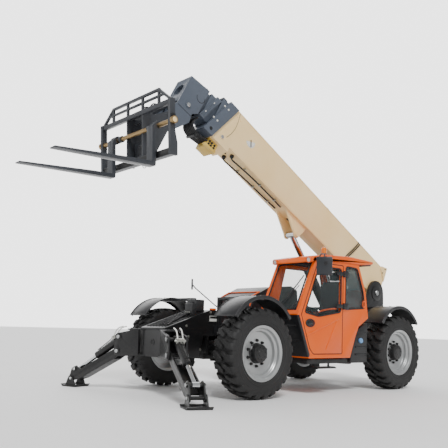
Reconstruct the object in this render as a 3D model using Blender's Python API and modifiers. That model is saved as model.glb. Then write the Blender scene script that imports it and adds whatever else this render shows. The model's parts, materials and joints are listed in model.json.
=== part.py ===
"""Telehandler with a four-section boom, fork carriage, cab and front outriggers.

The machine is modelled in metres with +X forward, +Y to its left (the cab's side) and +Z up.
Every sub-part is one named object.  Moving sub-parts hang on empties that stand on their
joints, and the root empty centres the machine's bounding box over the ground.
"""
import math

import bmesh
import bpy
from mathutils import Matrix, Vector

# ---------------------------------------------------------------- driving dimensions
GAP = 0.0003                    # between pieces that touch
PIN_GAP = 0.0006                # between a pin and its bore
RUN_GAP = 0.006                 # between a moving panel and its frame
ROUND_SIDES = 18                # facets round a pin, a bar or a bore

WHEELBASE = 3.34
WHEEL_Y = 1.045                 # wheel centre from the middle plane
TYRE_RADIUS = 0.625
TYRE_WIDTH = 0.385
TYRE_BEAD_WIDTH = 0.315
RIM_RADIUS = 0.3555             # bead seat
RIM_FLANGE_RADIUS = 0.381
RIM_WIDTH = 0.345
RIM_WALL = 0.012
WHEEL_STEPS = 32                # facets round a rim and its tyre, which mate
DISC_OUT = 0.015                # wheel disc, outboard of the wheel centre
DISC_THICKNESS = 0.022
HUB_RADIUS = 0.130
HUB_LENGTH = 0.105
KINGPIN_Y = 0.82
KNUCKLE_RADIUS = 0.085
KNUCKLE_HEIGHT = 0.26
DRUM_RADIUS = 0.165
SPINDLE_RADIUS = 0.045
AXLE_TUBE_RADIUS = 0.090
AXLE_HOUSING = 0.170            # half length of the centre housing along the machine
AXLE_HOUSING_TOP = 0.140        # above the wheel centre
YOKE_THICKNESS = 0.045

FENDER_RADIUS = 0.642
FENDER_CENTRE_Z = 0.758
FENDER_END_ANGLE = 34.0         # above level, at each end of the arc
FENDER_THICKNESS = 0.012
FENDER_INNER_Y = 0.80
FENDER_OUTER_Y = 1.225
FENDER_LIP = 0.035

FRAME_HALF_WIDTH = 0.283
RAIL_THICKNESS = 0.040
NOSE_X = 0.980
NOSE_BOTTOM = 0.523
NOSE_TOP = 0.930
FRONT_TOP = 1.210               # rails behind the sloping nose
SLOPE_REAR_X = 0.150
DECK_TOP = 1.000                # rails between cab and engine
ARCH_TOP = 0.830                # frame's lower edge over an axle
BELLY = 0.430                   # frame's lower edge between the axles
FRAME_REAR_X = -4.300
BEAM_BOTTOM = 0.460             # side beams under cab and engine

BOOM_PIVOT = Vector((-4.06, 0.0, 1.70))
BOOM_PITCH = 28.4
TOWER_INNER = 0.200             # half the clear width between the towers
TOWER_THICKNESS = 0.048
TOWER_RADIUS = 0.235
BOOM_PIN_RADIUS = 0.050

BASE_HALF_WIDTH = 0.171
BASE_BOTTOM = -0.040
BASE_TOP = 0.594
BASE_REAR = -0.180
BASE_FRONT_TOP = 4.470          # the front edge leans forward towards the bottom
BASE_FRONT_BOTTOM = 4.700
BASE_WALL = 0.014
CHIN_REAR = 4.330
CHIN_DROP = 0.085
MID_HALF_WIDTH = 0.148
MID_BOTTOM = -0.012
MID_TOP = 0.566
INNER_MID_HALF_WIDTH = 0.128
INNER_MID_BOTTOM = 0.014
INNER_MID_TOP = 0.470
TIP_HALF_WIDTH = 0.108
TIP_BOTTOM = 0.040
TIP_TOP = 0.430
SECTION_WALL = 0.011
PAD_LENGTH = 0.120              # wear pads at the mouth of each section
SECTION_REARS = (0.350, 0.500, 0.650)
COLLAR_HALF_WIDTH = 0.200
COLLAR_DEPTH = 0.200
COLLAR_BOTTOM = -0.140
COLLAR_TOP = 0.585
NECK_COLLAR_HALF_WIDTH = 0.165
NECK_COLLAR_DEPTH = 0.100
NECK_COLLAR_X = 4.955
HEAD_REAR = 5.075
HEAD_FRONT = 5.455
HEAD_HALF_WIDTH = 0.170
HEAD_WALL = 0.018
HEAD_HOLE_RADIUS = 0.100

LIFT_EYE = Vector((2.33, 0.0, -0.25))       # in the boom's frame
LIFT_FOOT = Vector((-3.25, 0.0, 0.86))
LIFT_BARREL_RADIUS = 0.082
LIFT_BARREL_LENGTH = 1.49
LIFT_ROD_RADIUS = 0.050
LIFT_ROD_LENGTH = 1.48
LIFT_EYE_RADIUS = 0.055
LIFT_EAR_INNER = 0.095
LIFT_EAR_THICKNESS = 0.028

CARRIAGE_PIVOT = Vector((5.45, 0.0, -0.40))  # in the boom's frame
CARRIAGE_PITCH = -2.5
CARRIAGE_PIN_RADIUS = 0.036
TILT_FOOT = Vector((4.86, 0.0, 0.275))       # in the boom's frame
TILT_ARM = 0.20
TILT_ARM_ANGLE = 67.0
TILT_BARREL_RADIUS = 0.040
TILT_BARREL_LENGTH = 0.620
TILT_ROD_RADIUS = 0.024
TILT_ROD_LENGTH = 0.560
TILT_EYE_RADIUS = 0.034

CARRIAGE_HALF_WIDTH = 0.851
CARRIAGE_FRONT = 0.527          # from the carriage pivot
CARRIAGE_BOTTOM = -0.759
POST_TOP = -0.022
POST_THICKNESS = 0.050
SHAFT_Z = -0.314
SHAFT_RADIUS = 0.032
GUARD_TOP = 0.182
GUARD_HALF_WIDTH = 0.554
RAIL_SIZE = 0.035
FORK_Y = 0.488
FORK_WIDTH = 0.130
FORK_THICKNESS = 0.058
FORK_LENGTH = 1.392
FORK_BOTTOM = -0.863
FORK_TIP = 0.016

OUTRIGGER_ROOT = Vector((1.044, 0.653, 0.578))
OUTRIGGER_YAW = 21.0            # the arms splay forwards by this much
OUTRIGGER_DROP = 28.0
ARM_LENGTH = 0.966
ARM_HALF_WIDTH = 0.105
ARM_PLATE = 0.018
ARM_DEPTH = 0.075
ARM_PIN_RADIUS = 0.030
WING_HALF_WIDTH = 0.111         # inner faces of the wing plates
WING_PLATE = 0.022
OUTRIGGER_FOOT = Vector((-0.022, 0.0, 0.207))  # cylinder's upper pin, from the arm's pivot
OUTRIGGER_EYE = Vector((0.844, 0.0, 0.099))    # in the arm's frame
OUTRIGGER_BARREL_RADIUS = 0.054
OUTRIGGER_BARREL_LENGTH = 0.560
OUTRIGGER_ROD_RADIUS = 0.030
OUTRIGGER_ROD_LENGTH = 0.520
OUTRIGGER_EYE_RADIUS = 0.038
FOOT_HALF_WIDTH = 0.165
FOOT_HALF_LENGTH = 0.120
FOOT_PLATE = 0.020

CAB_LEFT = 1.150
CAB_RIGHT = 0.380
CAB_WALL = 0.048
CAB_FLOOR = 0.545
CAB_EAVES = 2.030
ROOF_RISE = 0.110
DOOR_REAR = -1.830
DOOR_THICKNESS = 0.042
HINGE_Y = 1.172
GLASS = 0.008
ENGINE_LEFT = -0.330
ENGINE_RIGHT = -1.150
ENGINE_FRONT = -1.300
ENGINE_REAR = -2.480
ENGINE_FLOOR = 0.520
ENGINE_RIM = 1.300
SHEET = 0.016
HOOD_PIVOT = Vector((-2.470, -0.740, 1.318))

# ---------------------------------------------------------------- finishes
FINISHES = {
    "orange": ("#F26E21", 0.35, 0.0),
    "cream": ("#F6E0BE", 0.40, 0.0),
    "slate": ("#5C6874", 0.45, 0.1),
    "black": ("#1C1D1F", 0.50, 0.0),
    "rubber": ("#262626", 0.85, 0.0),
    "rim": ("#C9C6BC", 0.40, 0.3),
    "chrome": ("#D8D8D8", 0.12, 1.0),
    "glass": ("#9FB4B4", 0.05, 0.0),
    "steel": ("#A48A66", 0.45, 0.8),
    "amber": ("#F08A10", 0.25, 0.0),
    "vinyl": ("#202226", 0.75, 0.0),
}


def linear(hex_colour):
    """An sRGB hex colour as linear RGBA."""
    channels = [int(hex_colour[i:i + 2], 16) / 255 for i in (1, 3, 5)]
    return [c / 12.92 if c <= 0.04045 else ((c + 0.055) / 1.055) ** 2.4 for c in channels] + [1.0]


def finish(name, label):
    """A Principled material of its own for one sub-part."""
    colour, roughness, metallic = FINISHES[label]
    material = bpy.data.materials.new(name + "_finish")
    material.use_nodes = True
    shader = material.node_tree.nodes["Principled BSDF"]
    shader.inputs["Base Color"].default_value = linear(colour)
    shader.inputs["Roughness"].default_value = roughness
    shader.inputs["Metallic"].default_value = metallic
    return material


# ---------------------------------------------------------------- scene and frames
def clear_scene():
    """Remove everything that the scene holds."""
    for obj in list(bpy.data.objects):
        bpy.data.objects.remove(obj, do_unlink=True)


def collection(name):
    """A new collection in the scene."""
    new = bpy.data.collections.new(name)
    bpy.context.scene.collection.children.link(new)
    return new


clear_scene()
MACHINE = collection("telehandler")
GUIDES = collection("cutters")


def hang(obj, parent):
    """Parent an object and leave it where it is."""
    if parent is not None:
        bpy.context.view_layer.update()
        obj.parent = parent
        obj.matrix_parent_inverse = parent.matrix_world.inverted()


def frame_at(origin, pitch=0.0, yaw=0.0):
    """A frame at a point: turned about Z by yaw, then its nose raised by pitch (degrees)."""
    turn = Matrix.Rotation(math.radians(yaw), 4, "Z") @ Matrix.Rotation(-math.radians(pitch), 4, "Y")
    return Matrix.Translation(origin) @ turn


def frame_between(start, end):
    """A frame at start whose X axis points to end and whose Y axis is level."""
    along = (end - start).normalized()
    level = Vector((0.0, 0.0, 1.0)).cross(along).normalized()
    up = along.cross(level)
    turn = Matrix((along, level, up)).transposed().to_4x4()
    return Matrix.Translation(start) @ turn


def pivot(name, frame, parent):
    """An empty on a joint."""
    empty = bpy.data.objects.new(name, None)
    empty.empty_display_size = 0.2
    empty.matrix_world = frame
    MACHINE.objects.link(empty)
    hang(empty, parent)
    return empty


# ---------------------------------------------------------------- shapes, each in a local frame
def shape(name, bm):
    """A guide object from a bmesh, to be kept, joined or cut with."""
    bmesh.ops.recalc_face_normals(bm, faces=bm.faces)
    mesh = bpy.data.meshes.new(name)
    bm.to_mesh(mesh)
    bm.free()
    return mesh_object(name, mesh)


def mesh_object(name, mesh):
    """An object for a mesh, with the guides until it is kept."""
    obj = bpy.data.objects.new(name, mesh)
    obj.hide_render = True
    obj.display_type = "WIRE"
    GUIDES.objects.link(obj)
    return obj


def box(low, high, name="box"):
    """A box between two corners."""
    bm = bmesh.new()
    bmesh.ops.create_cube(bm, size=1.0)
    low, high = Vector(low), Vector(high)
    bmesh.ops.scale(bm, vec=high - low, verts=bm.verts)
    bmesh.ops.translate(bm, vec=(high + low) / 2, verts=bm.verts)
    return shape(name, bm)


def rod(start, end, radius, sides=ROUND_SIDES, end_radius=None, name="rod"):
    """A round bar or cone between two points."""
    start, end = Vector(start), Vector(end)
    bm = bmesh.new()
    bmesh.ops.create_cone(bm, cap_ends=True, segments=sides, radius1=radius,
                          radius2=radius if end_radius is None else end_radius,
                          depth=(end - start).length)
    turn = (end - start).to_track_quat("Z", "Y").to_matrix().to_4x4()
    bmesh.ops.transform(bm, matrix=Matrix.Translation((start + end) / 2) @ turn, verts=bm.verts)
    return shape(name, bm)


def bore_radius(pin_radius):
    """The radius of a faceted bore that clears a faceted pin however the two are turned."""
    return (pin_radius + PIN_GAP) / math.cos(math.pi / ROUND_SIDES)


def cross_rod(x, z, half_width, radius, sides=ROUND_SIDES, y=0.0):
    """A round bar across the machine, centred on y."""
    return rod((x, y - half_width, z), (x, y + half_width, z), radius, sides)


def curve_mesh(curve, name):
    """The closed mesh of a curve, with its caps welded."""
    carrier = bpy.data.objects.new(name, curve)
    GUIDES.objects.link(carrier)
    evaluated = carrier.evaluated_get(bpy.context.evaluated_depsgraph_get())
    mesh = bpy.data.meshes.new_from_object(evaluated)
    bpy.data.objects.remove(carrier, do_unlink=True)
    bm = bmesh.new()
    bm.from_mesh(mesh)
    bmesh.ops.remove_doubles(bm, verts=bm.verts, dist=0.0001)
    bmesh.ops.recalc_face_normals(bm, faces=bm.faces)
    bm.to_mesh(mesh)
    bm.free()
    return mesh


def plate(outline, y_low, y_high, holes=(), name="plate"):
    """A flat plate whose outline is given as (x, z) points, between two Y planes."""
    curve = bpy.data.curves.new(name, "CURVE")
    curve.dimensions = "2D"
    curve.fill_mode = "BOTH"
    curve.extrude = abs(y_high - y_low) / 2
    for points in (outline, *holes):
        spline = curve.splines.new("POLY")
        spline.points.add(len(points) - 1)
        for point, (x, z) in zip(spline.points, points):
            point.co = (x, z, 0.0, 1.0)
        spline.use_cyclic_u = True
    mesh = curve_mesh(curve, name)
    upright = Matrix.Translation((0.0, (y_low + y_high) / 2, 0.0)) @ Matrix.Rotation(math.radians(90), 4, "X")
    mesh.transform(upright)
    return mesh_object(name, mesh)


def turned(profile, side, y, name="turned", steps=WHEEL_STEPS):
    """A ring turned about the Y axis from a closed (radius, outboard distance) profile."""
    mesh = bpy.data.meshes.new(name)
    points = [(radius, 0.0, out) for radius, out in profile]
    edges = [(i, (i + 1) % len(points)) for i in range(len(points))]
    mesh.from_pydata(points, edges, [])
    obj = bpy.data.objects.new(name, mesh)
    GUIDES.objects.link(obj)
    screw = obj.modifiers.new("turn", "SCREW")
    screw.steps = steps
    screw.render_steps = steps
    screw.use_merge_vertices = True
    screw.merge_threshold = 0.0001
    evaluated = obj.evaluated_get(bpy.context.evaluated_depsgraph_get())
    ring = bpy.data.meshes.new_from_object(evaluated)
    bpy.data.objects.remove(obj, do_unlink=True)
    ring.transform(Matrix.Translation((0.0, y, 0.0)) @ Matrix.Rotation(-side * math.pi / 2, 4, "X"))
    bm = bmesh.new()
    bm.from_mesh(ring)
    bmesh.ops.remove_doubles(bm, verts=bm.verts, dist=0.0001)
    bmesh.ops.recalc_face_normals(bm, faces=bm.faces)
    bm.to_mesh(ring)
    bm.free()
    return mesh_object(name, ring)


def arched(profile, centre, start, end, steps, name="arched"):
    """A (y, radius) profile swept along an arc in the XZ plane, in degrees."""
    bm = bmesh.new()
    rings = []
    for i in range(steps + 1):
        angle = math.radians(start + (end - start) * i / steps)
        rings.append([bm.verts.new((centre[0] + radius * math.cos(angle), y,
                                    centre[1] + radius * math.sin(angle))) for y, radius in profile])
    for first, second in zip(rings, rings[1:]):
        for j, corner in enumerate(first):
            bm.faces.new((corner, first[j - 1], second[j - 1], second[j]))
    bm.faces.new(rings[0])
    bm.faces.new(rings[-1])
    return shape(name, bm)


def tube(points, radius, name="tube"):
    """A bent round bar along a list of points."""
    curve = bpy.data.curves.new(name, "CURVE")
    curve.dimensions = "3D"
    curve.bevel_depth = radius
    curve.bevel_resolution = 1
    curve.use_fill_caps = True
    spline = curve.splines.new("POLY")
    spline.points.add(len(points) - 1)
    for point, place in zip(spline.points, points):
        point.co = (*place, 1.0)
    return mesh_object(name, curve_mesh(curve, name))


def arc(centre, radius, start, end, steps):
    """Points along an arc, in degrees."""
    angles = [math.radians(start + (end - start) * i / steps) for i in range(steps + 1)]
    return [(centre[0] + radius * math.cos(a), centre[1] + radius * math.sin(a)) for a in angles]


def inset(outline, distance):
    """A convex or gently hollow outline moved inwards; its points run clockwise or not."""
    area = sum(a[0] * b[1] - b[0] * a[1] for a, b in zip(outline, outline[1:] + outline[:1]))
    inward = 1.0 if area > 0 else -1.0
    moved = []
    for i, here in enumerate(outline):
        before, after = Vector(outline[i - 1]), Vector(outline[(i + 1) % len(outline)])
        here = Vector(here)
        first, second = (here - before).normalized(), (after - here).normalized()
        normal_a = Vector((-first.y, first.x)) * inward
        normal_b = Vector((-second.y, second.x)) * inward
        bisector = normal_a + normal_b
        moved.append(tuple(here + bisector * (2 * distance / bisector.length_squared)))
    return moved


def add(body, *others):
    """Join solids to a body."""
    for other in others:
        modifier = body.modifiers.new("join", "BOOLEAN")
        modifier.operation = "UNION"
        modifier.object = other
    return body


def cut(body, *cutters):
    """Cut solids out of a body."""
    for cutter in cutters:
        modifier = body.modifiers.new("cut", "BOOLEAN")
        modifier.operation = "DIFFERENCE"
        modifier.object = cutter
    return body


def merged(body, name="merged"):
    """The plain mesh that a body's modifiers give, as a new guide."""
    bpy.context.view_layer.update()
    evaluated = body.evaluated_get(bpy.context.evaluated_depsgraph_get())
    mesh = bpy.data.meshes.new_from_object(evaluated)
    return mesh_object(name, mesh)


def keep(name, body, label, parent):
    """Turn a body into a named sub-part on its empty, in whose frame it was drawn."""
    bpy.context.view_layer.update()
    evaluated = body.evaluated_get(bpy.context.evaluated_depsgraph_get())
    mesh = bpy.data.meshes.new_from_object(evaluated)
    mesh.name = name
    mesh.materials.clear()
    mesh.materials.append(finish(name, label))
    mesh.shade_smooth()
    mesh.set_sharp_from_angle(angle=math.radians(35))
    part = bpy.data.objects.new(name, mesh)
    MACHINE.objects.link(part)
    part.matrix_world = parent.matrix_world.copy()
    hang(part, parent)
    return part


def moved(body, frame):
    """A guide carried into another frame."""
    body.data.transform(frame)
    return body


def opening(start, end, first, last, depth):
    """A slanted four-sided outline along a wall line, for a pane or its opening."""
    start, end = Vector(start), Vector(end)
    along = end - start
    out = Vector((-along.y, along.x)).normalized() * depth
    low, high = start + along * first, start + along * last
    return [tuple(low + out), tuple(high + out), tuple(high - out), tuple(low - out)]


# ---------------------------------------------------------------- chassis
def outrigger_frame(side):
    """X outwards along the splayed arm, Y along its hinge, at the arm's pivot."""
    root = Vector((OUTRIGGER_ROOT.x, side * OUTRIGGER_ROOT.y, OUTRIGGER_ROOT.z))
    return frame_at(root, yaw=side * (90.0 - OUTRIGGER_YAW))


def rails():
    """Both side plates of the frame, arched over the axles."""
    arch = AXLE_HOUSING + 0.110
    outline = [(NOSE_X, NOSE_BOTTOM), (NOSE_X, NOSE_TOP), (SLOPE_REAR_X, FRONT_TOP), (-0.60, FRONT_TOP),
               (-1.00, DECK_TOP), (FRAME_REAR_X, DECK_TOP),
               (FRAME_REAR_X, 0.50), (-WHEELBASE - arch - 0.08, 0.50), (-WHEELBASE - arch, ARCH_TOP),
               (-WHEELBASE + arch, ARCH_TOP), (-WHEELBASE + arch + 0.08, BELLY),
               (-arch - 0.08, BELLY), (-arch, ARCH_TOP), (arch, ARCH_TOP), (arch + 0.08, NOSE_BOTTOM)]
    inner = FRAME_HALF_WIDTH - RAIL_THICKNESS
    return [plate(outline, inner, FRAME_HALF_WIDTH), plate(outline, -FRAME_HALF_WIDTH, -inner)]


def towers():
    """Both rear towers that carry the boom's pivot pin."""
    x, z = BOOM_PIVOT.x, BOOM_PIVOT.z
    crown = arc((x, z), TOWER_RADIUS, 0.0, 180.0, 10)
    outline = [(FRAME_REAR_X, 0.90), (x + 0.55, 0.90), (x + 0.55, 1.05)] + crown + [(FRAME_REAR_X, z - 0.1)]
    outer = TOWER_INNER + TOWER_THICKNESS
    pin = cross_rod(x, z, outer + 0.016, BOOM_PIN_RADIUS)
    return [plate(outline, TOWER_INNER, outer), plate(outline, -outer, -TOWER_INNER), pin]


def trunnion(x):
    """The hangers in front of and behind an axle's centre housing."""
    inner = FRAME_HALF_WIDTH - 0.01
    solids = []
    for near, far in ((AXLE_HOUSING + GAP, AXLE_HOUSING + 0.045), (-AXLE_HOUSING - 0.045, -AXLE_HOUSING - GAP)):
        solids.append(box((x + near, -inner, 0.58), (x + far, inner, 0.755)))
        for side in (-1, 1):
            low, high = sorted((side * inner, side * 0.19))
            solids.append(box((x + near, low, 0.70), (x + far, high, ARCH_TOP + 0.04)))
    return solids


def wings(side):
    """The plates and pins that carry one outrigger."""
    frame = outrigger_frame(side)
    outer = WING_HALF_WIDTH + WING_PLATE
    low_pin, high_pin = OUTRIGGER_FOOT.x, OUTRIGGER_FOOT.z
    nose = [(-0.06, -0.075), (0.04, -0.06), (0.062, 0.0), (0.03, 0.23), (-0.02, 0.262)]
    front = [(-0.37, -0.055)] + nose + [(-0.37, 0.33)]
    rear = [(-0.50, -0.055)] + nose + [(-0.50, 0.33)]
    facing = side
    sides = {facing: front, -facing: rear}
    solids = []
    for way, outline in sides.items():
        low, high = sorted((-way * WING_HALF_WIDTH, -way * outer))
        solids.append(plate(outline, low, high))
    solids.append(box((-0.47, -WING_HALF_WIDTH - 0.01, 0.31), (-0.17, WING_HALF_WIDTH + 0.01, 0.33)))
    solids.append(box((-0.47, -WING_HALF_WIDTH - 0.01, -0.055), (-0.20, WING_HALF_WIDTH + 0.01, -0.035)))
    solids.append(cross_rod(0.0, 0.0, outer + 0.012, ARM_PIN_RADIUS))
    solids.append(cross_rod(low_pin, high_pin, outer + 0.010, OUTRIGGER_EYE_RADIUS - 0.014))
    return [moved(solid, frame) for solid in solids]


def side_beams():
    """Cross beams under the cab, the tank and the engine, and the cab's step bar."""
    inner = FRAME_HALF_WIDTH - 0.02
    return [
        box((-1.22, inner, BEAM_BOTTOM), (-1.12, CAB_LEFT - 0.05, CAB_FLOOR - GAP)),
        box((-1.98, inner, BEAM_BOTTOM), (-1.88, CAB_LEFT - 0.05, CAB_FLOOR - GAP)),
        box((-2.03, CAB_LEFT - 0.11, BEAM_BOTTOM), (-1.05, CAB_LEFT - 0.05, CAB_FLOOR - 0.02)),
        box((-2.33, inner, BEAM_BOTTOM - 0.03), (-2.21, CAB_LEFT - 0.20, BEAM_BOTTOM - GAP)),
        box((-1.50, ENGINE_RIGHT + 0.05, BEAM_BOTTOM), (-1.40, -inner, ENGINE_FLOOR - GAP)),
        box((-2.36, ENGINE_RIGHT + 0.05, BEAM_BOTTOM), (-2.26, -inner, ENGINE_FLOOR - GAP)),
    ]


def build_frame(root):
    """The welded main frame with its nose, deck, towers, wings and beams."""
    inner = FRAME_HALF_WIDTH - 0.02
    left_rail, right_rail = rails()
    deck = [(NOSE_X, NOSE_TOP), (SLOPE_REAR_X, FRONT_TOP), (-0.60, FRONT_TOP),
            (-0.60, FRONT_TOP - SHEET), (SLOPE_REAR_X, FRONT_TOP - SHEET), (NOSE_X, NOSE_TOP - SHEET)]
    body = add(
        box((NOSE_X - 0.025, -inner, NOSE_BOTTOM), (NOSE_X, inner, NOSE_TOP - 0.002)),
        left_rail, right_rail, plate(deck, -inner, inner),
        box((0.38, -inner, NOSE_BOTTOM), (NOSE_X - 0.01, inner, NOSE_BOTTOM + SHEET)),
        box((-2.90, -inner, BELLY), (-0.40, inner, BELLY + SHEET)),
        box((FRAME_REAR_X, -inner, 0.50), (FRAME_REAR_X + 0.03, inner, 1.28)),
        *trunnion(0.0), *trunnion(-WHEELBASE), *towers(), *wings(1), *wings(-1), *side_beams(),
        cross_rod(LIFT_FOOT.x, LIFT_FOOT.z, FRAME_HALF_WIDTH - 0.005, LIFT_EYE_RADIUS - 0.012))
    return keep("main_frame", body, "black", root)


def build_counterweight(root):
    """The cast weight behind the rear axle."""
    body = box((FRAME_REAR_X - 0.15, -0.78, 0.45), (FRAME_REAR_X - GAP, 0.78, 0.95))
    bevel = body.modifiers.new("round", "BEVEL")
    bevel.width = 0.03
    bevel.segments = 2
    return keep("counterweight", body, "black", root)


def build_axle(name, x, root):
    """A steering axle's housing with a yoke at each end."""
    z = TYRE_RADIUS
    body = box((x - AXLE_HOUSING, -0.17, z - 0.135), (x + AXLE_HOUSING, 0.17, z + AXLE_HOUSING_TOP))
    add(body, rod((x, -0.68, z), (x, 0.68, z), AXLE_TUBE_RADIUS))
    inside = KNUCKLE_HEIGHT / 2 + PIN_GAP
    outside = inside + YOKE_THICKNESS
    for side in (-1, 1):
        web_low, web_high = sorted((side * 0.64, side * 0.71))
        add(body, box((x - 0.08, web_low, z - outside), (x + 0.08, web_high, z + outside)))
        for low, high in ((inside, outside), (-outside, -inside)):
            arm_low, arm_high = sorted((side * 0.70, side * KINGPIN_Y))
            add(body, box((x - 0.07, arm_low, z + low), (x + 0.07, arm_high, z + high)))
            add(body, rod((x, side * KINGPIN_Y, z + low), (x, side * KINGPIN_Y, z + high), KNUCKLE_RADIUS))
    return keep(name, body, "black", root)


def build_knuckle(name, side, hinge):
    """The steered hub carrier with its drum and spindle, drawn from the kingpin at wheel height."""
    disc = side * (WHEEL_Y + DISC_OUT - KINGPIN_Y)
    body = rod((0, 0, -KNUCKLE_HEIGHT / 2), (0, 0, KNUCKLE_HEIGHT / 2), KNUCKLE_RADIUS)
    neck_low, neck_high = sorted((0.0, side * 0.13))
    add(body, box((-0.065, neck_low, -0.095), (0.065, neck_high, 0.095)))
    add(body, rod((0, side * 0.105, 0), (0, disc - side * PIN_GAP, 0), DRUM_RADIUS, sides=32))
    add(body, rod((0, side * 0.15, 0), (0, disc + side * 0.07, 0), SPINDLE_RADIUS))
    return keep(name, body, "black", hinge)


def build_rim(name, side, hinge):
    """The rim with its deep disc and the planetary hub, turned about the wheel's centre."""
    half, bead = RIM_WIDTH / 2, TYRE_BEAD_WIDTH / 2 + GAP
    inner = RIM_RADIUS - RIM_WALL
    profile = [(inner, -half), (RIM_FLANGE_RADIUS, -half), (RIM_FLANGE_RADIUS, -bead), (RIM_RADIUS, -bead),
               (RIM_RADIUS, bead), (RIM_FLANGE_RADIUS, bead), (RIM_FLANGE_RADIUS, half), (inner, half)]
    body = turned(profile, side, 0.0)
    disc_in, disc_out = side * DISC_OUT, side * (DISC_OUT + DISC_THICKNESS)
    add(body, rod((0, disc_in, 0), (0, disc_out, 0), RIM_RADIUS - 0.004, sides=36))
    add(body, rod((0, disc_out - side * 0.005, 0), (0, disc_out + side * HUB_LENGTH, 0), HUB_RADIUS, sides=32))
    cut(body, rod((0, disc_in - side * 0.01, 0), (0, disc_in + side * 0.08, 0), bore_radius(SPINDLE_RADIUS)))
    return keep(name, body, "rim", hinge)


def build_tyre(name, side, hinge):
    """The tyre as a plain ring between the rim's flanges."""
    half = TYRE_WIDTH / 2
    bead = TYRE_BEAD_WIDTH / 2
    outer_half = [(RIM_RADIUS + GAP, bead), (RIM_FLANGE_RADIUS + 0.001, bead), (0.402, half - 0.016),
                  (0.470, half), (0.560, half - 0.004), (TYRE_RADIUS - 0.032, half - 0.012),
                  (TYRE_RADIUS - 0.004, half - 0.040), (TYRE_RADIUS, half - 0.060)]
    profile = outer_half + [(radius, -out) for radius, out in reversed(outer_half)]
    return keep(name, turned(profile, side, 0.0), "rubber", hinge)


def build_fender(name, x, side, root):
    """A curved mudguard on its arm and post from the frame's rail."""
    inner, outer = FENDER_RADIUS, FENDER_RADIUS + FENDER_THICKNESS
    lip_y = FENDER_OUTER_Y - FENDER_THICKNESS
    section_yr = [(FENDER_INNER_Y, outer), (FENDER_OUTER_Y, outer), (FENDER_OUTER_Y, inner - FENDER_LIP),
                  (lip_y, inner - FENDER_LIP), (lip_y, inner), (FENDER_INNER_Y, inner)]
    guard = arched([(side * y, radius) for y, radius in section_yr], (x, FENDER_CENTRE_Z),
                   FENDER_END_ANGLE, 180.0 - FENDER_END_ANGLE, 14)
    top = FENDER_CENTRE_Z + FENDER_RADIUS + 0.004
    rail = FRAME_HALF_WIDTH + GAP
    arm_low, arm_high = sorted((side * (rail + 0.001), side * (FENDER_OUTER_Y - 0.05)))
    post_low, post_high = sorted((side * rail, side * (rail + 0.050)))
    foot_low, foot_high = sorted((side * rail, side * (rail + 0.014)))
    body = add(
        guard,
        box((x - 0.035, arm_low, top - 0.050), (x + 0.035, arm_high, top)),
        box((x - 0.034, post_low, ARCH_TOP + 0.02), (x + 0.034, post_high, top - 0.002)),
        box((x - 0.090, foot_low, ARCH_TOP + 0.01), (x + 0.090, foot_high, DECK_TOP - 0.01)))
    return keep(name, body, "black", root)


# ---------------------------------------------------------------- cab
CAB_OUTLINE = [(-1.03, CAB_FLOOR), (-0.76, 1.19), (-1.15, CAB_EAVES), (-2.23, CAB_EAVES), (-2.42, 1.60),
               (-2.50, 1.18), (-2.25, 1.04), (-2.16, 0.87), (-2.03, CAB_FLOOR)]
DOOR_OUTLINE = [(DOOR_REAR, 0.605), (-1.13, 0.605), (-1.045, 0.68), (-0.935, 0.95), (-0.842, 1.19),
                (-1.195, 1.985), (DOOR_REAR, 1.985)]
DOOR_WINDOW = [(-1.775, 1.254), (-1.24, 1.172), (-0.925, 1.222), (-1.235, 1.925), (-1.775, 1.925)]
QUARTER_WINDOW = [(-1.895, 1.30), (-2.405, 1.34), (-2.355, 1.60), (-2.19, 1.965), (-1.895, 1.975)]
RIGHT_WINDOW = [(-1.10, 1.27), (-2.36, 1.27), (-2.19, 1.94), (-1.30, 1.94)]
FRONT_WALL = (CAB_OUTLINE[1], CAB_OUTLINE[2])
REAR_WALL = (CAB_OUTLINE[3], CAB_OUTLINE[4])
HINGE_HEIGHTS = (1.345, 1.850)
HINGE_HALF = 0.022


def build_cab(root):
    """The cab's shell: floor, walls and pillars, open at the door and the windows."""
    room = inset(CAB_OUTLINE, CAB_WALL)
    room[2] = (room[2][0] + 0.06, CAB_EAVES + 0.1)
    room[3] = (room[3][0], CAB_EAVES + 0.1)
    body = plate(CAB_OUTLINE, CAB_RIGHT, CAB_LEFT)
    for height in HINGE_HEIGHTS:
        for low, high in ((height - HINGE_HALF - 0.024, height - HINGE_HALF - PIN_GAP),
                          (height + HINGE_HALF + PIN_GAP, height + HINGE_HALF + 0.024)):
            add(body, rod((DOOR_REAR, HINGE_Y, low), (DOOR_REAR, HINGE_Y, high), 0.014, sides=16))
            add(body, box((DOOR_REAR - 0.07, CAB_LEFT - 0.01, low), (DOOR_REAR, HINGE_Y, high)))
    left_in, right_in = CAB_LEFT - CAB_WALL, CAB_RIGHT + CAB_WALL
    cut(body,
        plate(room, right_in, left_in),
        plate(opening(*FRONT_WALL, 0.07, 0.95, 0.15), right_in + 0.003, left_in - 0.003),
        plate(opening(*REAR_WALL, 0.12, 0.90, 0.15), right_in + 0.03, left_in - 0.03),
        plate(DOOR_OUTLINE, left_in - 0.05, CAB_LEFT + 0.008),
        plate(QUARTER_WINDOW, left_in - 0.05, CAB_LEFT + 0.05),
        plate(RIGHT_WINDOW, CAB_RIGHT - 0.05, right_in + 0.05))
    return keep("cab_body", body, "orange", root)


def build_roof(root):
    """The roof with its front visor and rear overhang."""
    seat = CAB_EAVES + GAP
    outline = [(-1.03, 1.975), (-1.07, 2.060), (-1.35, CAB_EAVES + 0.085), (-2.00, CAB_EAVES + ROOF_RISE),
               (-2.61, 2.110), (-2.60, 2.065), (-2.30, seat), (-1.115, seat), (-1.090, 1.975)]
    body = plate(outline, CAB_RIGHT - 0.02, CAB_LEFT + 0.02)
    return keep("cab_roof", body, "orange", root)


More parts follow.
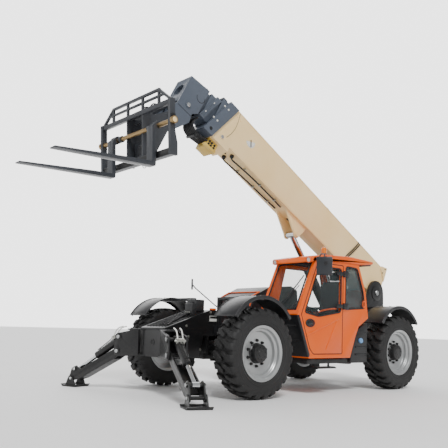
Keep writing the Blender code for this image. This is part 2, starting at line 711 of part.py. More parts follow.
def build_panes(root):
    """The fixed panes of the cab, each in the middle of its wall."""
    middle = CAB_WALL / 2
    left_in, right_in = CAB_LEFT - CAB_WALL - GAP, CAB_RIGHT + CAB_WALL + GAP
    panes = {}
    for name, wall, first, last, margin in (("windscreen", FRONT_WALL, 0.07, 0.95, 0.003),
                                            ("rear_window", REAR_WALL, 0.12, 0.90, 0.03)):
        start, end = Vector(wall[0]), Vector(wall[1])
        inwards = Vector((-(end - start).y, (end - start).x)).normalized() * middle
        slack = GAP / (end - start).length
        line = (start + inwards, end + inwards)
        outline = opening(*line, first + slack, last - slack, GLASS / 2)
        panes[name] = plate(outline, right_in + margin, left_in - margin)
    for name, outline, y in (("quarter_window", QUARTER_WINDOW, CAB_LEFT - middle),
                             ("right_window", RIGHT_WINDOW, CAB_RIGHT + middle)):
        panes[name] = plate(inset(outline, GAP), y - GLASS / 2, y + GLASS / 2)
    for name, pane in panes.items():
        keep(name, pane, "glass", root)


def build_door(hinge):
    """The cab door with its window opening and two strap hinges, drawn in the machine's frame."""
    to_hinge = Matrix.Translation((-DOOR_REAR, -HINGE_Y, -HINGE_HEIGHTS[0]))
    body = plate(inset(DOOR_OUTLINE, RUN_GAP), CAB_LEFT - DOOR_THICKNESS, CAB_LEFT)
    cut(body, plate(DOOR_WINDOW, CAB_LEFT - 0.1, CAB_LEFT + 0.05))
    for height in HINGE_HEIGHTS:
        low, high = height - HINGE_HALF, height + HINGE_HALF
        add(body, box((DOOR_REAR + 0.012, CAB_LEFT - 0.01, low), (DOOR_REAR + 0.15, HINGE_Y, high)),
            box((DOOR_REAR, HINGE_Y - 0.012, low), (DOOR_REAR + 0.10, HINGE_Y, high)),
            rod((DOOR_REAR, HINGE_Y, low), (DOOR_REAR, HINGE_Y, high), 0.014, sides=16))
    door = moved(merged(body), to_hinge)
    keep("cab_door", door, "orange", hinge)
    y = CAB_LEFT - DOOR_THICKNESS / 2
    pane = moved(plate(inset(DOOR_WINDOW, GAP), y - GLASS / 2, y + GLASS / 2), to_hinge)
    keep("door_window", pane, "glass", hinge)


def build_seat(root):
    """The driver's seat on its pedestal."""
    middle = (CAB_LEFT + CAB_RIGHT) / 2
    floor = CAB_FLOOR + CAB_WALL + GAP
    body = box((-2.06, middle - 0.24, 0.98), (-1.58, middle + 0.24, 1.10))
    back = [(-2.08, 1.06), (-1.96, 1.06), (-2.06, 1.72), (-2.15, 1.72)]
    add(body, plate(back, middle - 0.22, middle + 0.22),
        box((-1.95, middle - 0.14, floor), (-1.70, middle + 0.14, 1.00)))
    return keep("driver_seat", body, "vinyl", root)


def build_dashboard(root):
    """The front console with its steering column and wheel."""
    middle = (CAB_LEFT + CAB_RIGHT) / 2
    floor = CAB_FLOOR + CAB_WALL + GAP
    outline = [(-1.10, floor), (-1.28, floor), (-1.26, 1.10), (-1.03, 1.16), (-0.90, 1.12), (-1.04, 0.80)]
    body = plate(outline, middle - 0.27, middle + 0.27)
    foot, top = Vector((-1.16, middle, 1.08)), Vector((-1.33, middle, 1.24))
    add(body, rod(foot, top, 0.028, sides=16))
    ring = [(0.185 + 0.015 * math.cos(math.radians(a)), 0.015 * math.sin(math.radians(a)))
            for a in range(0, 360, 60)]
    lean = (top - foot).to_track_quat("Y", "X").to_matrix().to_4x4()
    wheel = moved(turned(ring, 1, 0.0, steps=24), Matrix.Translation(top) @ lean)
    spokes = [moved(box((-0.19, -0.008, -0.02), (0.19, 0.008, 0.02)), Matrix.Translation(top) @ lean)]
    add(body, wheel, *spokes)
    return keep("dashboard", body, "vinyl", root)


def build_cab_mirror(root):
    """The mirror outboard of the cab's front left corner, on its bent arm."""
    near, far = Vector((-0.986, 1.300, 0.0)), Vector((-1.100, 1.500, 0.0))
    face = (far - near).normalized()
    width = (far - near).length
    turn = Matrix.Rotation(math.atan2(face.y, face.x), 4, "Z")
    head = box((0.0, -0.022, 1.765), (width, 0.022, 2.035))
    bevel = head.modifiers.new("round", "BEVEL")
    bevel.width = 0.018
    bevel.segments = 2
    head = moved(merged(head), Matrix.Translation(near) @ turn)
    middle = (near + far) / 2
    route = [(-1.16, CAB_LEFT + 0.02 + GAP, 2.052), (-1.16, 1.21, 2.052), (-1.13, 1.26, 2.090),
             (middle.x, middle.y, 2.075),
             (middle.x, middle.y, 1.95)]
    return keep("cab_mirror", add(head, tube(route, 0.011)), "black", root)


def build_front_mirror(root):
    """The round mirror ahead of the front left fender, on a thin arm."""
    centre = Vector((0.745, 0.560, 1.540))
    route = [(0.44, FENDER_INNER_Y - GAP, 1.232), (0.44, 0.765, 1.232), (0.47, 0.720, 1.270),
             (0.70, 0.585, 1.485),
             tuple(centre)]
    face = Vector((-0.76, 0.65, 0.0)).normalized()
    head = rod(centre - face * 0.012, centre + face * 0.012, 0.075, sides=20)
    return keep("front_mirror", add(head, tube(route, 0.009)), "black", root)


def build_beacon(root):
    """The amber beacon on the roof."""
    x, y, z = -1.50, 1.02, CAB_EAVES + 0.085
    foot = rod((x, y, z), (x, y, z + 0.035), 0.045, sides=16)
    add(foot, rod((x, y, z + 0.03), (x, y, z + 0.14), 0.038, sides=16, end_radius=0.032))
    cut(foot, box((x - 0.1, y - 0.1, z - 0.1), (x + 0.1, y + 0.1, z + 0.008)))
    return keep("beacon", foot, "amber", root)


def build_tank(root):
    """The tank below and behind the cab."""
    outline = [(-2.085, BEAM_BOTTOM), (-2.085, 0.565), (-2.185, 0.835), (-2.275, 0.995), (-2.515, 1.112),
               (-2.530, 1.05), (-2.530, BEAM_BOTTOM)]
    body = plate(outline, 0.45, 1.12)
    return keep("fuel_tank", body, "black", root)


# ---------------------------------------------------------------- engine
def build_engine(root, hinge):
    """The engine's tub on the right, the block in it and the hood over it."""
    tub = box((ENGINE_REAR, ENGINE_RIGHT, ENGINE_FLOOR), (ENGINE_FRONT, ENGINE_LEFT, ENGINE_RIM))
    cut(tub, box((ENGINE_REAR + SHEET, ENGINE_RIGHT + SHEET, ENGINE_FLOOR + SHEET),
                 (ENGINE_FRONT - SHEET, ENGINE_LEFT - SHEET, ENGINE_RIM + 0.1)))
    hinge_y = (HOOD_PIVOT.y - 0.16, HOOD_PIVOT.y + 0.16)
    keep("engine_housing", tub, "black", root)
    floor = ENGINE_FLOOR + SHEET + GAP
    keep("engine_block", box((-2.30, -1.02, floor), (-1.55, -0.48, 1.18)), "slate", root)

    base = ENGINE_RIM + RUN_GAP
    outline = [(ENGINE_FRONT, base), (ENGINE_FRONT - 0.03, 1.50), (-1.72, 1.68), (-2.28, 1.735),
               (ENGINE_REAR + 0.03, 1.66), (ENGINE_REAR, base)]
    hollow = inset(outline, SHEET)
    hollow[0] = (hollow[0][0], base - 0.05)
    hollow[-1] = (hollow[-1][0], base - 0.05)
    hood = cut(plate(outline, ENGINE_RIGHT, ENGINE_LEFT),
               plate(hollow, ENGINE_RIGHT + SHEET, ENGINE_LEFT - SHEET))
    for y in hinge_y:
        add(hood, box((ENGINE_REAR + 0.014, y - 0.03, ENGINE_RIM + PIN_GAP),
                      (ENGINE_REAR + 0.06, y + 0.03, base + 0.03)))
    to_hinge = Matrix.Translation(-HOOD_PIVOT)
    keep("engine_hood", moved(merged(hood), to_hinge), "black", hinge)


# ---------------------------------------------------------------- boom
def section(rear, front, half_width, bottom, top, wall):
    """A square tube along the boom, open at both ends."""
    body = box((rear, -half_width, bottom), (front, half_width, top))
    return cut(body, box((rear - 0.1, -half_width + wall, bottom + wall),
                         (front + 0.1, half_width - wall, top - wall)))


def mouth(front, length, outer, bore):
    """A ring of wear pads at a section's mouth; outer and bore are (half width, bottom, top)."""
    ring = box((front - length, -outer[0], outer[1]), (front, outer[0], outer[2]))
    return cut(ring, box((front - length - 0.1, -bore[0], bore[1]), (front + 0.1, bore[0], bore[2])))


def leaning(x_bottom, x_top, depth, bottom, top):
    """The outline of a collar whose faces lean back towards the top."""
    return [(x_bottom, bottom), (x_bottom + depth, bottom), (x_top + depth, top), (x_top, top)]


MID = (MID_HALF_WIDTH, MID_BOTTOM, MID_TOP)
INNER_MID = (INNER_MID_HALF_WIDTH, INNER_MID_BOTTOM, INNER_MID_TOP)
TIP = (TIP_HALF_WIDTH, TIP_BOTTOM, TIP_TOP)


def bore(sizes):
    """The clear bore around a section, for its wear pads."""
    return (sizes[0] + PIN_GAP, sizes[1] - PIN_GAP, sizes[2] + PIN_GAP)


def build_base(hinge):
    """The fixed boom section with its chin, tail lug, pivot boss and lift ears."""
    w, wall = BASE_HALF_WIDTH, BASE_WALL
    chin = BASE_BOTTOM - CHIN_DROP
    outline = [(BASE_REAR, BASE_BOTTOM), (CHIN_REAR, BASE_BOTTOM), (CHIN_REAR, chin), (BASE_FRONT_BOTTOM, chin),
               (BASE_FRONT_TOP, BASE_TOP), (BASE_REAR, BASE_TOP)]
    inside = (w - wall, BASE_BOTTOM + wall, BASE_TOP - wall)
    body = plate(outline, -w, w)
    cut(body, box((BASE_REAR - 0.1, -inside[0], inside[1]), (BASE_FRONT_TOP - PAD_LENGTH, inside[0], inside[2])))
    opening_bore = bore(MID)
    cut(body, box((3.0, -opening_bore[0], opening_bore[1]), (5.2, opening_bore[0], opening_bore[2])))
    body = merged(body)
    lug = [(0.02, BASE_TOP - 0.05), (0.02, BASE_TOP + 0.01), (-0.155, BASE_TOP + 0.07), (BASE_REAR, 0.37)]
    add(body, plate(lug, w - 0.002, w + 0.018), plate(lug, -w - 0.018, -w + 0.002))
    add(body, cross_rod(0.0, 0.0, TOWER_INNER - PIN_GAP, BOOM_PIN_RADIUS + 0.035))
    ear = [(LIFT_EYE.x - 0.16, BASE_BOTTOM + 0.005), (LIFT_EYE.x - 0.055, LIFT_EYE.z - 0.03)]
    ear += arc((LIFT_EYE.x, LIFT_EYE.z), 0.068, 205.0, 335.0, 6)
    ear += [(LIFT_EYE.x + 0.40, BASE_BOTTOM - 0.03), (LIFT_EYE.x + 0.42, BASE_BOTTOM + 0.005)]
    outer = LIFT_EAR_INNER + LIFT_EAR_THICKNESS
    add(body, plate(ear, LIFT_EAR_INNER, outer), plate(ear, -outer, -LIFT_EAR_INNER))
    body = merged(body)
    for side in (-1, 1):
        low, high = sorted((side * (outer - 0.010), side * (outer + 0.016)))
        add(body, rod((LIFT_EYE.x, low, LIFT_EYE.z), (LIFT_EYE.x, high, LIFT_EYE.z), 0.047))
    slot_half = LIFT_EAR_INNER - 0.008
    cut(body, cross_rod(0.0, 0.0, TOWER_INNER + 0.1, bore_radius(BOOM_PIN_RADIUS)),
        box((LIFT_EYE.x - 0.20, -slot_half, BASE_BOTTOM - 0.02),
            (LIFT_EYE.x + 0.20, slot_half, BASE_BOTTOM + wall + 0.004)))
    return keep("boom_base", body, "cream", hinge)


def build_middle_sections(first_hinge, second_hinge):
    """The two middle sections with their collars, drawn in the boom's frame."""
    front = BASE_FRONT_BOTTOM + COLLAR_DEPTH * 0.5
    inside = (MID[0] - SECTION_WALL, MID[1] + SECTION_WALL, MID[2] - SECTION_WALL)
    first = section(SECTION_REARS[0], front, *MID, SECTION_WALL)
    lean = (BASE_FRONT_BOTTOM - BASE_FRONT_TOP) / (BASE_TOP - BASE_BOTTOM + CHIN_DROP)
    x_bottom = BASE_FRONT_BOTTOM + RUN_GAP + lean * (BASE_BOTTOM - CHIN_DROP - COLLAR_BOTTOM)
    x_top = x_bottom - lean * (COLLAR_TOP - COLLAR_BOTTOM)
    collar = plate(leaning(x_bottom, x_top, COLLAR_DEPTH, COLLAR_BOTTOM, COLLAR_TOP),
                   -COLLAR_HALF_WIDTH, COLLAR_HALF_WIDTH)
    collar = cut(collar, box((4.0, -inside[0], inside[1]), (5.2, inside[0], inside[2])))
    first = add(merged(first), merged(collar))
    pads = mouth(x_top + COLLAR_DEPTH - 0.01, PAD_LENGTH, (inside[0] + 0.004, inside[1] - 0.004, inside[2] + 0.004),
                 bore(INNER_MID))
    keep("boom_middle", add(merged(first), merged(pads)), "slate", first_hinge)

    inside = (INNER_MID[0] - SECTION_WALL, INNER_MID[1] + SECTION_WALL, INNER_MID[2] - SECTION_WALL)
    front = NECK_COLLAR_X + NECK_COLLAR_DEPTH * 0.5
    second = section(SECTION_REARS[1], front, *INNER_MID, SECTION_WALL)
    x_low = NECK_COLLAR_X
    x_high = x_low - lean * (INNER_MID[2] - INNER_MID[1])
    neck = plate(leaning(x_low, x_high, NECK_COLLAR_DEPTH, INNER_MID[1] - 0.012, INNER_MID[2] + 0.012),
                 -NECK_COLLAR_HALF_WIDTH, NECK_COLLAR_HALF_WIDTH)
    neck = cut(neck, box((4.0, -inside[0], inside[1]), (5.2, inside[0], inside[2])))
    second = add(merged(second), merged(neck))
    pads = mouth(x_high + NECK_COLLAR_DEPTH - 0.01, 0.07,
                 (inside[0] + 0.004, inside[1] - 0.004, inside[2] + 0.004), bore(TIP))
    keep("boom_inner_middle", add(merged(second), merged(pads)), "slate", second_hinge)


def build_tip(hinge):
    """The last section, slotted under its front end for the tilt cylinder, and the boom's head."""
    tip = section(SECTION_REARS[2], HEAD_REAR - GAP, *TIP, SECTION_WALL)
    cut(tip, box((4.97, -0.062, TIP_BOTTOM - 0.05), (HEAD_REAR + 0.1, 0.062, TIP_BOTTOM + 0.05)))
    foot = cross_rod(TILT_FOOT.x, TILT_FOOT.z, TIP_HALF_WIDTH - SECTION_WALL + 0.004, TILT_EYE_RADIUS - 0.012)
    keep("boom_tip", add(merged(tip), foot), "slate", hinge)

    w, wall = HEAD_HALF_WIDTH, HEAD_WALL
    px, pz = CARRIAGE_PIVOT.x, CARRIAGE_PIVOT.z
    cheek = [(HEAD_REAR, TIP_TOP + 0.005), (HEAD_FRONT, 0.385), (HEAD_FRONT, -0.12), (px + 0.075, pz + 0.05)]
    cheek += arc((px, pz), 0.085, 20.0, -120.0, 8)
    cheek += [(5.27, -0.468), (5.14, -0.250), (5.165, -0.10), (HEAD_REAR, TIP_BOTTOM - 0.06)]
    sides = [plate(cheek, w - wall, w), plate(cheek, -w, -w + wall)]
    lip = w - wall / 2
    top = [(HEAD_REAR, TIP_TOP + 0.005), (HEAD_FRONT, 0.385), (HEAD_FRONT, 0.385 - wall),
           (HEAD_REAR, TIP_TOP - 0.013)]
    back = [(5.27, -0.468), (5.14, -0.250), (5.165, -0.10), (5.165 + wall, -0.10), (5.14 + wall, -0.245),
            (5.27 + wall, -0.455)]
    face = box((HEAD_FRONT - wall, -lip, -0.085), (HEAD_FRONT - 0.001, lip, 0.375))
    hole_z = 0.165
    cut(face, rod((HEAD_FRONT - 0.1, 0, hole_z), (HEAD_FRONT + 0.1, 0, hole_z), HEAD_HOLE_RADIUS, sides=28))
    rear = box((HEAD_REAR, -lip, TIP_BOTTOM - 0.055), (HEAD_REAR + wall, lip, TIP_TOP))
    cut(rear, box((HEAD_REAR - 0.1, -0.085, TIP_BOTTOM - 0.2), (HEAD_REAR + 0.1, 0.085, TIP_TOP - 0.07)))
    head = add(merged(face), *sides, plate(top, -lip, lip), plate(back, -lip, lip), merged(rear),
               cross_rod(px, pz, w + 0.045, CARRIAGE_PIN_RADIUS))
    keep("boom_head", head, "slate", hinge)


# ---------------------------------------------------------------- cylinders
def build_cylinder(name, length, hinges, barrel, piston, eye, foot_pin):
    """A barrel with an eye at its foot and a rod in its bore.

    barrel is (radius, length), piston is (radius, length), eye is (radius, half width) and
    length is the distance between the eyes at rest, along X from the foot's pin.
    """
    barrel_radius, barrel_length = barrel
    rod_radius, rod_length = piston
    eye_radius, eye_half = eye
    bottom = eye_radius + 0.030
    body = cross_rod(0.0, 0.0, eye_half, eye_radius + 0.012)
    add(body, rod((0.0, 0, 0), (bottom + 0.01, 0, 0), min(barrel_radius, eye_radius) * 0.8, sides=20),
        rod((bottom, 0, 0), (barrel_length, 0, 0), barrel_radius))
    cut(body, cross_rod(0.0, 0.0, eye_half + 0.1, bore_radius(foot_pin)),
        rod((bottom + 0.015, 0, 0), (barrel_length + 0.1, 0, 0), rod_radius + PIN_GAP))
    keep(name + "_barrel", body, "black", hinges[0])
    stem = rod((length - rod_length, 0, 0), (length, 0, 0), rod_radius)
    add(stem, cross_rod(length, 0.0, eye_half, eye_radius))
    keep(name + "_rod", stem, "chrome", hinges[1])


# ---------------------------------------------------------------- carriage and forks
def build_coupler(hinge):
    """The quick-attach frame between the boom's head and the carriage."""
    inner = HEAD_HALF_WIDTH + 0.006
    outer = inner + 0.022
    back = CARRIAGE_FRONT - 0.155
    cheek = arc((0.0, 0.0), 0.080, 100.0, 250.0, 8)
    cheek += [(back - 0.06, CARRIAGE_BOTTOM + 0.10), (back, CARRIAGE_BOTTOM + 0.10), (back, POST_TOP - 0.03),
              (back - 0.06, POST_TOP - 0.03)]
    tilt = math.radians(TILT_ARM_ANGLE + BOOM_PITCH - CARRIAGE_PITCH)
    tx, tz = TILT_ARM * math.cos(tilt), TILT_ARM * math.sin(tilt)
    ear = arc((tx, tz), 0.040, 60.0, 250.0, 8) + [(back - 0.02, -0.10), (back - 0.02, 0.05)]
    ear_in, ear_out = 0.030, 0.052
    web = box((back - 0.045, -outer + 0.003, -0.12), (back - 0.001, outer - 0.003, 0.055))
    low_web = box((back - 0.030, -outer + 0.003, CARRIAGE_BOTTOM + 0.12), (back - 0.001, outer - 0.003, -0.40))
    cut(low_web, box((back - 0.2, -0.10, CARRIAGE_BOTTOM + 0.17), (back + 0.1, 0.10, -0.45)))
    body = add(merged(web), merged(low_web), plate(cheek, inner, outer), plate(cheek, -outer, -inner),
               plate(ear, ear_in, ear_out), plate(ear, -ear_out, -ear_in))
    cut(body, cross_rod(0.0, 0.0, 0.4, bore_radius(CARRIAGE_PIN_RADIUS)))
    return keep("coupler", body, "slate", hinge)


def build_carriage(hinge):
    """The fork carriage: end posts, beams, centre plates and the load guard."""
    w, t = CARRIAGE_HALF_WIDTH, POST_THICKNESS
    front, bottom = CARRIAGE_FRONT, CARRIAGE_BOTTOM
    back = front - 0.155 + GAP
    post = [(front - 0.125, bottom), (front - 0.010, bottom), (front - 0.005, -0.50), (front, POST_TOP),
            (front - 0.085, POST_TOP), (front - 0.085, -0.42), (front - 0.125, -0.60)]
    posts = [plate(post, w - t, w), plate(post, -w, -w + t)]
    beams = [
        box((front - 0.115, -w + 0.01, bottom + 0.005), (front - 0.020, w - 0.01, bottom + 0.095)),
        box((front - 0.070, -w + 0.01, POST_TOP - 0.065), (front - 0.015, w - 0.01, POST_TOP - 0.005)),
    ]
    middle = [(back, bottom + 0.01), (front - 0.03, bottom + 0.01), (front - 0.03, POST_TOP - 0.02),
              (back, POST_TOP - 0.02)]
    middles = [plate(middle, y, y + 0.022) for y in (-0.197, 0.175)]
    r = RAIL_SIZE / 2
    gx = front - 0.045
    guard = [box((gx - r, -GUARD_HALF_WIDTH - r, GUARD_TOP - RAIL_SIZE),
                 (gx + r, GUARD_HALF_WIDTH + r, GUARD_TOP)),
             box((gx - r * 0.8, -GUARD_HALF_WIDTH - 0.12, 0.062), (gx + r * 0.8, GUARD_HALF_WIDTH + 0.12, 0.092))]
    for y in (-GUARD_HALF_WIDTH, -0.18, 0.18, GUARD_HALF_WIDTH):
        guard.append(box((gx - r * 0.9, y - r, POST_TOP - 0.03), (gx + r * 0.9, y + r, GUARD_TOP - 0.005)))
    for side in (-1, 1):
        slope = moved(box((0, -r, -r), (1, r, r)), Matrix.Identity(4))
        start = Vector((gx, side * (w - 0.02), POST_TOP - 0.02))
        end = Vector((gx, side * GUARD_HALF_WIDTH, GUARD_TOP - r))
        stretch = Matrix.Diagonal(((end - start).length, 1, 1, 1))
        guard.append(moved(slope, frame_between(start, end) @ stretch))
    body = add(posts[0], posts[1], *beams, *middles, *guard)
    shaft = cross_rod(front - 0.045, SHAFT_Z, w + 0.2, SHAFT_RADIUS + PIN_GAP)
    cut(body, shaft)
    return keep("fork_carriage", body, "slate", hinge)


def build_shaft(hinge):
    """The fork shaft across the carriage, with a cap at each end."""
    w = CARRIAGE_HALF_WIDTH
    x = CARRIAGE_FRONT - 0.045
    body = cross_rod(x, SHAFT_Z, w + 0.045, SHAFT_RADIUS)
    for side in (-1, 1):
        start, end = side * (w + PIN_GAP), side * (w + 0.046)
        add(body, rod((x, start, SHAFT_Z), (x, end, SHAFT_Z), SHAFT_RADIUS + 0.018))
    return keep("fork_shaft", body, "steel", hinge)


def build_fork(name, side, hinge):
    """A fork with its eye on the shaft, its shank and its tapering blade."""
    x = CARRIAGE_FRONT - 0.045
    heel = CARRIAGE_FRONT + 0.061
    low, top = FORK_BOTTOM, FORK_BOTTOM + FORK_THICKNESS
    outline = [(heel + 0.05, low), (heel + FORK_LENGTH, low + 0.012), (heel + FORK_LENGTH, low + 0.012 + FORK_TIP),
               (heel + 0.30, top), (heel + 0.004, top), (heel, SHAFT_Z - 0.02)]
    outline += arc((x, SHAFT_Z), 0.062, 20.0, 200.0, 8)
    outline += [(CARRIAGE_FRONT + 0.003, SHAFT_Z - 0.075), (CARRIAGE_FRONT + 0.003, low + 0.03),
                (CARRIAGE_FRONT + 0.012, low)]
    y = side * FORK_Y
    body = plate(outline, y - FORK_WIDTH / 2, y + FORK_WIDTH / 2)
    cut(body, cross_rod(x, SHAFT_Z, 1.2, SHAFT_RADIUS + PIN_GAP))
    return keep(name, body, "slate", hinge)


# ---------------------------------------------------------------- outriggers
def build_outrigger(label, side, root):
    """One outrigger: arm, cylinder and foot, each on its hinge."""
    base = outrigger_frame(side)
    arm_hinge = pivot(label + "_outrigger_pivot", base @ frame_at(Vector(), pitch=-OUTRIGGER_DROP), root)
    w = ARM_HALF_WIDTH
    cheek = arc((0.0, 0.0), 0.062, 110.0, 250.0, 6)
    cheek += [(0.15, -ARM_DEPTH), (ARM_LENGTH - 0.16, -ARM_DEPTH)]
    cheek += arc((ARM_LENGTH, 0.0), 0.048, -110.0, 60.0, 6)
    cheek += [(OUTRIGGER_EYE.x + 0.045, OUTRIGGER_EYE.z + 0.035),
              (OUTRIGGER_EYE.x - 0.045, OUTRIGGER_EYE.z + 0.035),
              (OUTRIGGER_EYE.x - 0.10, 0.055), (0.10, 0.055)]
    floor = [(0.13, -ARM_DEPTH), (ARM_LENGTH - 0.16, -ARM_DEPTH), (ARM_LENGTH - 0.16, -ARM_DEPTH + 0.014),
             (0.13, -ARM_DEPTH + 0.014)]
    body = add(plate(cheek, w - ARM_PLATE, w), plate(cheek, -w, -w + ARM_PLATE),
               plate(floor, -w + 0.004, w - 0.004), cross_rod(ARM_LENGTH, 0.0, w + 0.016, ARM_PIN_RADIUS - 0.006))
    for way in (-1, 1):
        low, high = sorted((way * (w - 0.002), way * (w + 0.016)))
        add(body, rod((OUTRIGGER_EYE.x, low, OUTRIGGER_EYE.z), (OUTRIGGER_EYE.x, high, OUTRIGGER_EYE.z), 0.026))
    cut(body, cross_rod(0.0, 0.0, w + 0.1, bore_radius(ARM_PIN_RADIUS)))
    keep(label + "_outrigger_arm", body, "black", arm_hinge)

    foot_pin = base @ (Matrix.Rotation(math.radians(OUTRIGGER_DROP), 4, "Y") @ Vector((ARM_LENGTH, 0, 0)))
    foot_frame = Matrix.Translation(foot_pin) @ base.to_3x3().to_4x4()
    foot_hinge = pivot(label + "_foot_pivot", foot_frame, arm_hinge)
    height = foot_pin.z
    pad = box((-FOOT_HALF_LENGTH, -FOOT_HALF_WIDTH, -height),
              (FOOT_HALF_LENGTH, FOOT_HALF_WIDTH, -height + FOOT_PLATE))
    lug = [(-0.10, -height + 0.01), (0.10, -height + 0.01)] + arc((0.0, 0.0), 0.045, 20.0, 160.0, 6)
    inner = w + RUN_GAP - 0.001
    lugs = [plate(lug, inner, inner + 0.016), plate(lug, -inner - 0.016, -inner)]
    pad = add(pad, *lugs)
    cut(pad, cross_rod(0.0, 0.0, 0.3, bore_radius(ARM_PIN_RADIUS - 0.006)))
    keep(label + "_outrigger_foot", pad, "black", foot_hinge)

    start = base @ OUTRIGGER_FOOT
    end = base @ (Matrix.Rotation(math.radians(OUTRIGGER_DROP), 4, "Y") @ OUTRIGGER_EYE)
    along = frame_between(start, end)
    barrel_hinge = pivot(label + "_outrigger_barrel_pivot", along, root)
    rod_hinge = pivot(label + "_outrigger_rod_slide", along, barrel_hinge)
    build_cylinder(label + "_outrigger", (end - start).length, (barrel_hinge, rod_hinge),
                   (OUTRIGGER_BARREL_RADIUS, OUTRIGGER_BARREL_LENGTH),
                   (OUTRIGGER_ROD_RADIUS, OUTRIGGER_ROD_LENGTH),
                   (OUTRIGGER_EYE_RADIUS, 0.045), OUTRIGGER_EYE_RADIUS - 0.014)


# ---------------------------------------------------------------- assembly
def build_chassis(root):
    """Everything that is fixed to the frame."""
    build_frame(root)
    build_counterweight(root)
    build_axle("front_axle", 0.0, root)
    build_axle("rear_axle", -WHEELBASE, root)
    build_cab(root)
    build_roof(root)
    build_panes(root)
    build_seat(root)
    build_dashboard(root)
    build_cab_mirror(root)
    build_front_mirror(root)
    build_beacon(root)
    build_tank(root)


def build_wheels(root):
    """Knuckles, wheels and fenders at the four corners."""
    for end, x in (("front", 0.0), ("rear", -WHEELBASE)):
        for label, side in (("left", 1), ("right", -1)):
            name = end + "_" + label
            kingpin = Matrix.Translation((x, side * KINGPIN_Y, TYRE_RADIUS))
            steer = pivot(name + "_kingpin", kingpin, root)
            hub = pivot(name + "_hub", Matrix.Translation((x, side * WHEEL_Y, TYRE_RADIUS)), steer)
            build_knuckle(name + "_knuckle", side, steer)
            build_rim(name + "_rim", side, hub)
            build_tyre(name + "_tyre", side, hub)
            build_fender(name + "_fender", x, side, root)


def build_boom(root):
    """The boom, its sections, cylinders, coupler, carriage and forks."""
    boom_frame = frame_at(BOOM_PIVOT, pitch=BOOM_PITCH)
    boom = pivot("boom_pivot", boom_frame, root)
    first = pivot("first_extension", boom_frame, boom)
    second = pivot("second_extension", boom_frame, first)
    third = pivot("third_extension", boom_frame, second)
    build_base(boom)
    build_middle_sections(first, second)
    build_tip(third)

    eye = boom_frame @ LIFT_EYE
    along = frame_between(LIFT_FOOT, eye)
    barrel = pivot("lift_barrel_pivot", along, root)
    slide = pivot("lift_rod_slide", along, barrel)
    build_cylinder("lift_cylinder", (eye - LIFT_FOOT).length, (barrel, slide),
                   (LIFT_BARREL_RADIUS, LIFT_BARREL_LENGTH), (LIFT_ROD_RADIUS, LIFT_ROD_LENGTH),
                   (LIFT_EYE_RADIUS, 0.080), LIFT_EYE_RADIUS - 0.012)

    angle = math.radians(TILT_ARM_ANGLE)
    tilt_eye = CARRIAGE_PIVOT + Vector((TILT_ARM * math.cos(angle), 0.0, TILT_ARM * math.sin(angle)))
    foot, eye = boom_frame @ TILT_FOOT, boom_frame @ tilt_eye
    along = frame_between(foot, eye)
    barrel = pivot("tilt_barrel_pivot", along, third)
    slide = pivot("tilt_rod_slide", along, barrel)
    build_cylinder("tilt_cylinder", (eye - foot).length, (barrel, slide),
                   (TILT_BARREL_RADIUS, TILT_BARREL_LENGTH), (TILT_ROD_RADIUS, TILT_ROD_LENGTH),
                   (TILT_EYE_RADIUS, 0.026), TILT_EYE_RADIUS - 0.012)

    carriage = pivot("carriage_pivot", frame_at(boom_frame @ CARRIAGE_PIVOT, pitch=CARRIAGE_PITCH), third)
    build_coupler(carriage)
    build_carriage(carriage)
    build_shaft(carriage)
    build_fork("left_fork", 1, carriage)
    build_fork("right_fork", -1, carriage)


def centre_over_ground(root):
    """Slide the machine so that its bounding box is centred on the origin along X."""
    bpy.context.view_layer.update()
    reach = []
    for part in (obj for obj in MACHINE.objects if obj.type == "MESH"):
        reach += [(part.matrix_world @ vertex.co).x for vertex in part.data.vertices]
    root.location.x = -(min(reach) + max(reach)) / 2


def main():
    """Build the whole machine."""
    root = pivot("machine", Matrix.Identity(4), None)
    build_chassis(root)
    door = pivot("door_hinge", Matrix.Translation((DOOR_REAR, HINGE_Y, HINGE_HEIGHTS[0])), root)
    build_door(door)
    hood = pivot("hood_hinge", Matrix.Translation(HOOD_PIVOT), root)
    build_engine(root, hood)
    build_wheels(root)
    build_boom(root)
    for label, side in (("left", 1), ("right", -1)):
        build_outrigger(label, side, root)
    centre_over_ground(root)


main()
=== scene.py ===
"""Visual model of a telescopic handler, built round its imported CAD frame."""

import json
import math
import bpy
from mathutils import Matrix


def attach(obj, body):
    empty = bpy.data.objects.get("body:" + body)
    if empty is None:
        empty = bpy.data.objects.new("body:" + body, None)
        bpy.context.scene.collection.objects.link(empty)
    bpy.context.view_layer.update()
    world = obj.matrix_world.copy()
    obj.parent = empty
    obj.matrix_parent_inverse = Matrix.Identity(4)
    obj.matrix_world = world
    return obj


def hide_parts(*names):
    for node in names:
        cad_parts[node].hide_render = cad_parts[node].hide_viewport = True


bl_info = {
    "name": "Telescopic handler looks",
    "version": (1, 0, 0),
    "blender": (4, 5, 0),
    "location": "View3D > Sidebar > Handler",
    "description": "Adds treads, rims, seals, boom fittings, hoses and finishes to the handler's CAD frame",
    "category": "Add Mesh",
}

import bmesh
import bpy
from mathutils import Matrix, Vector

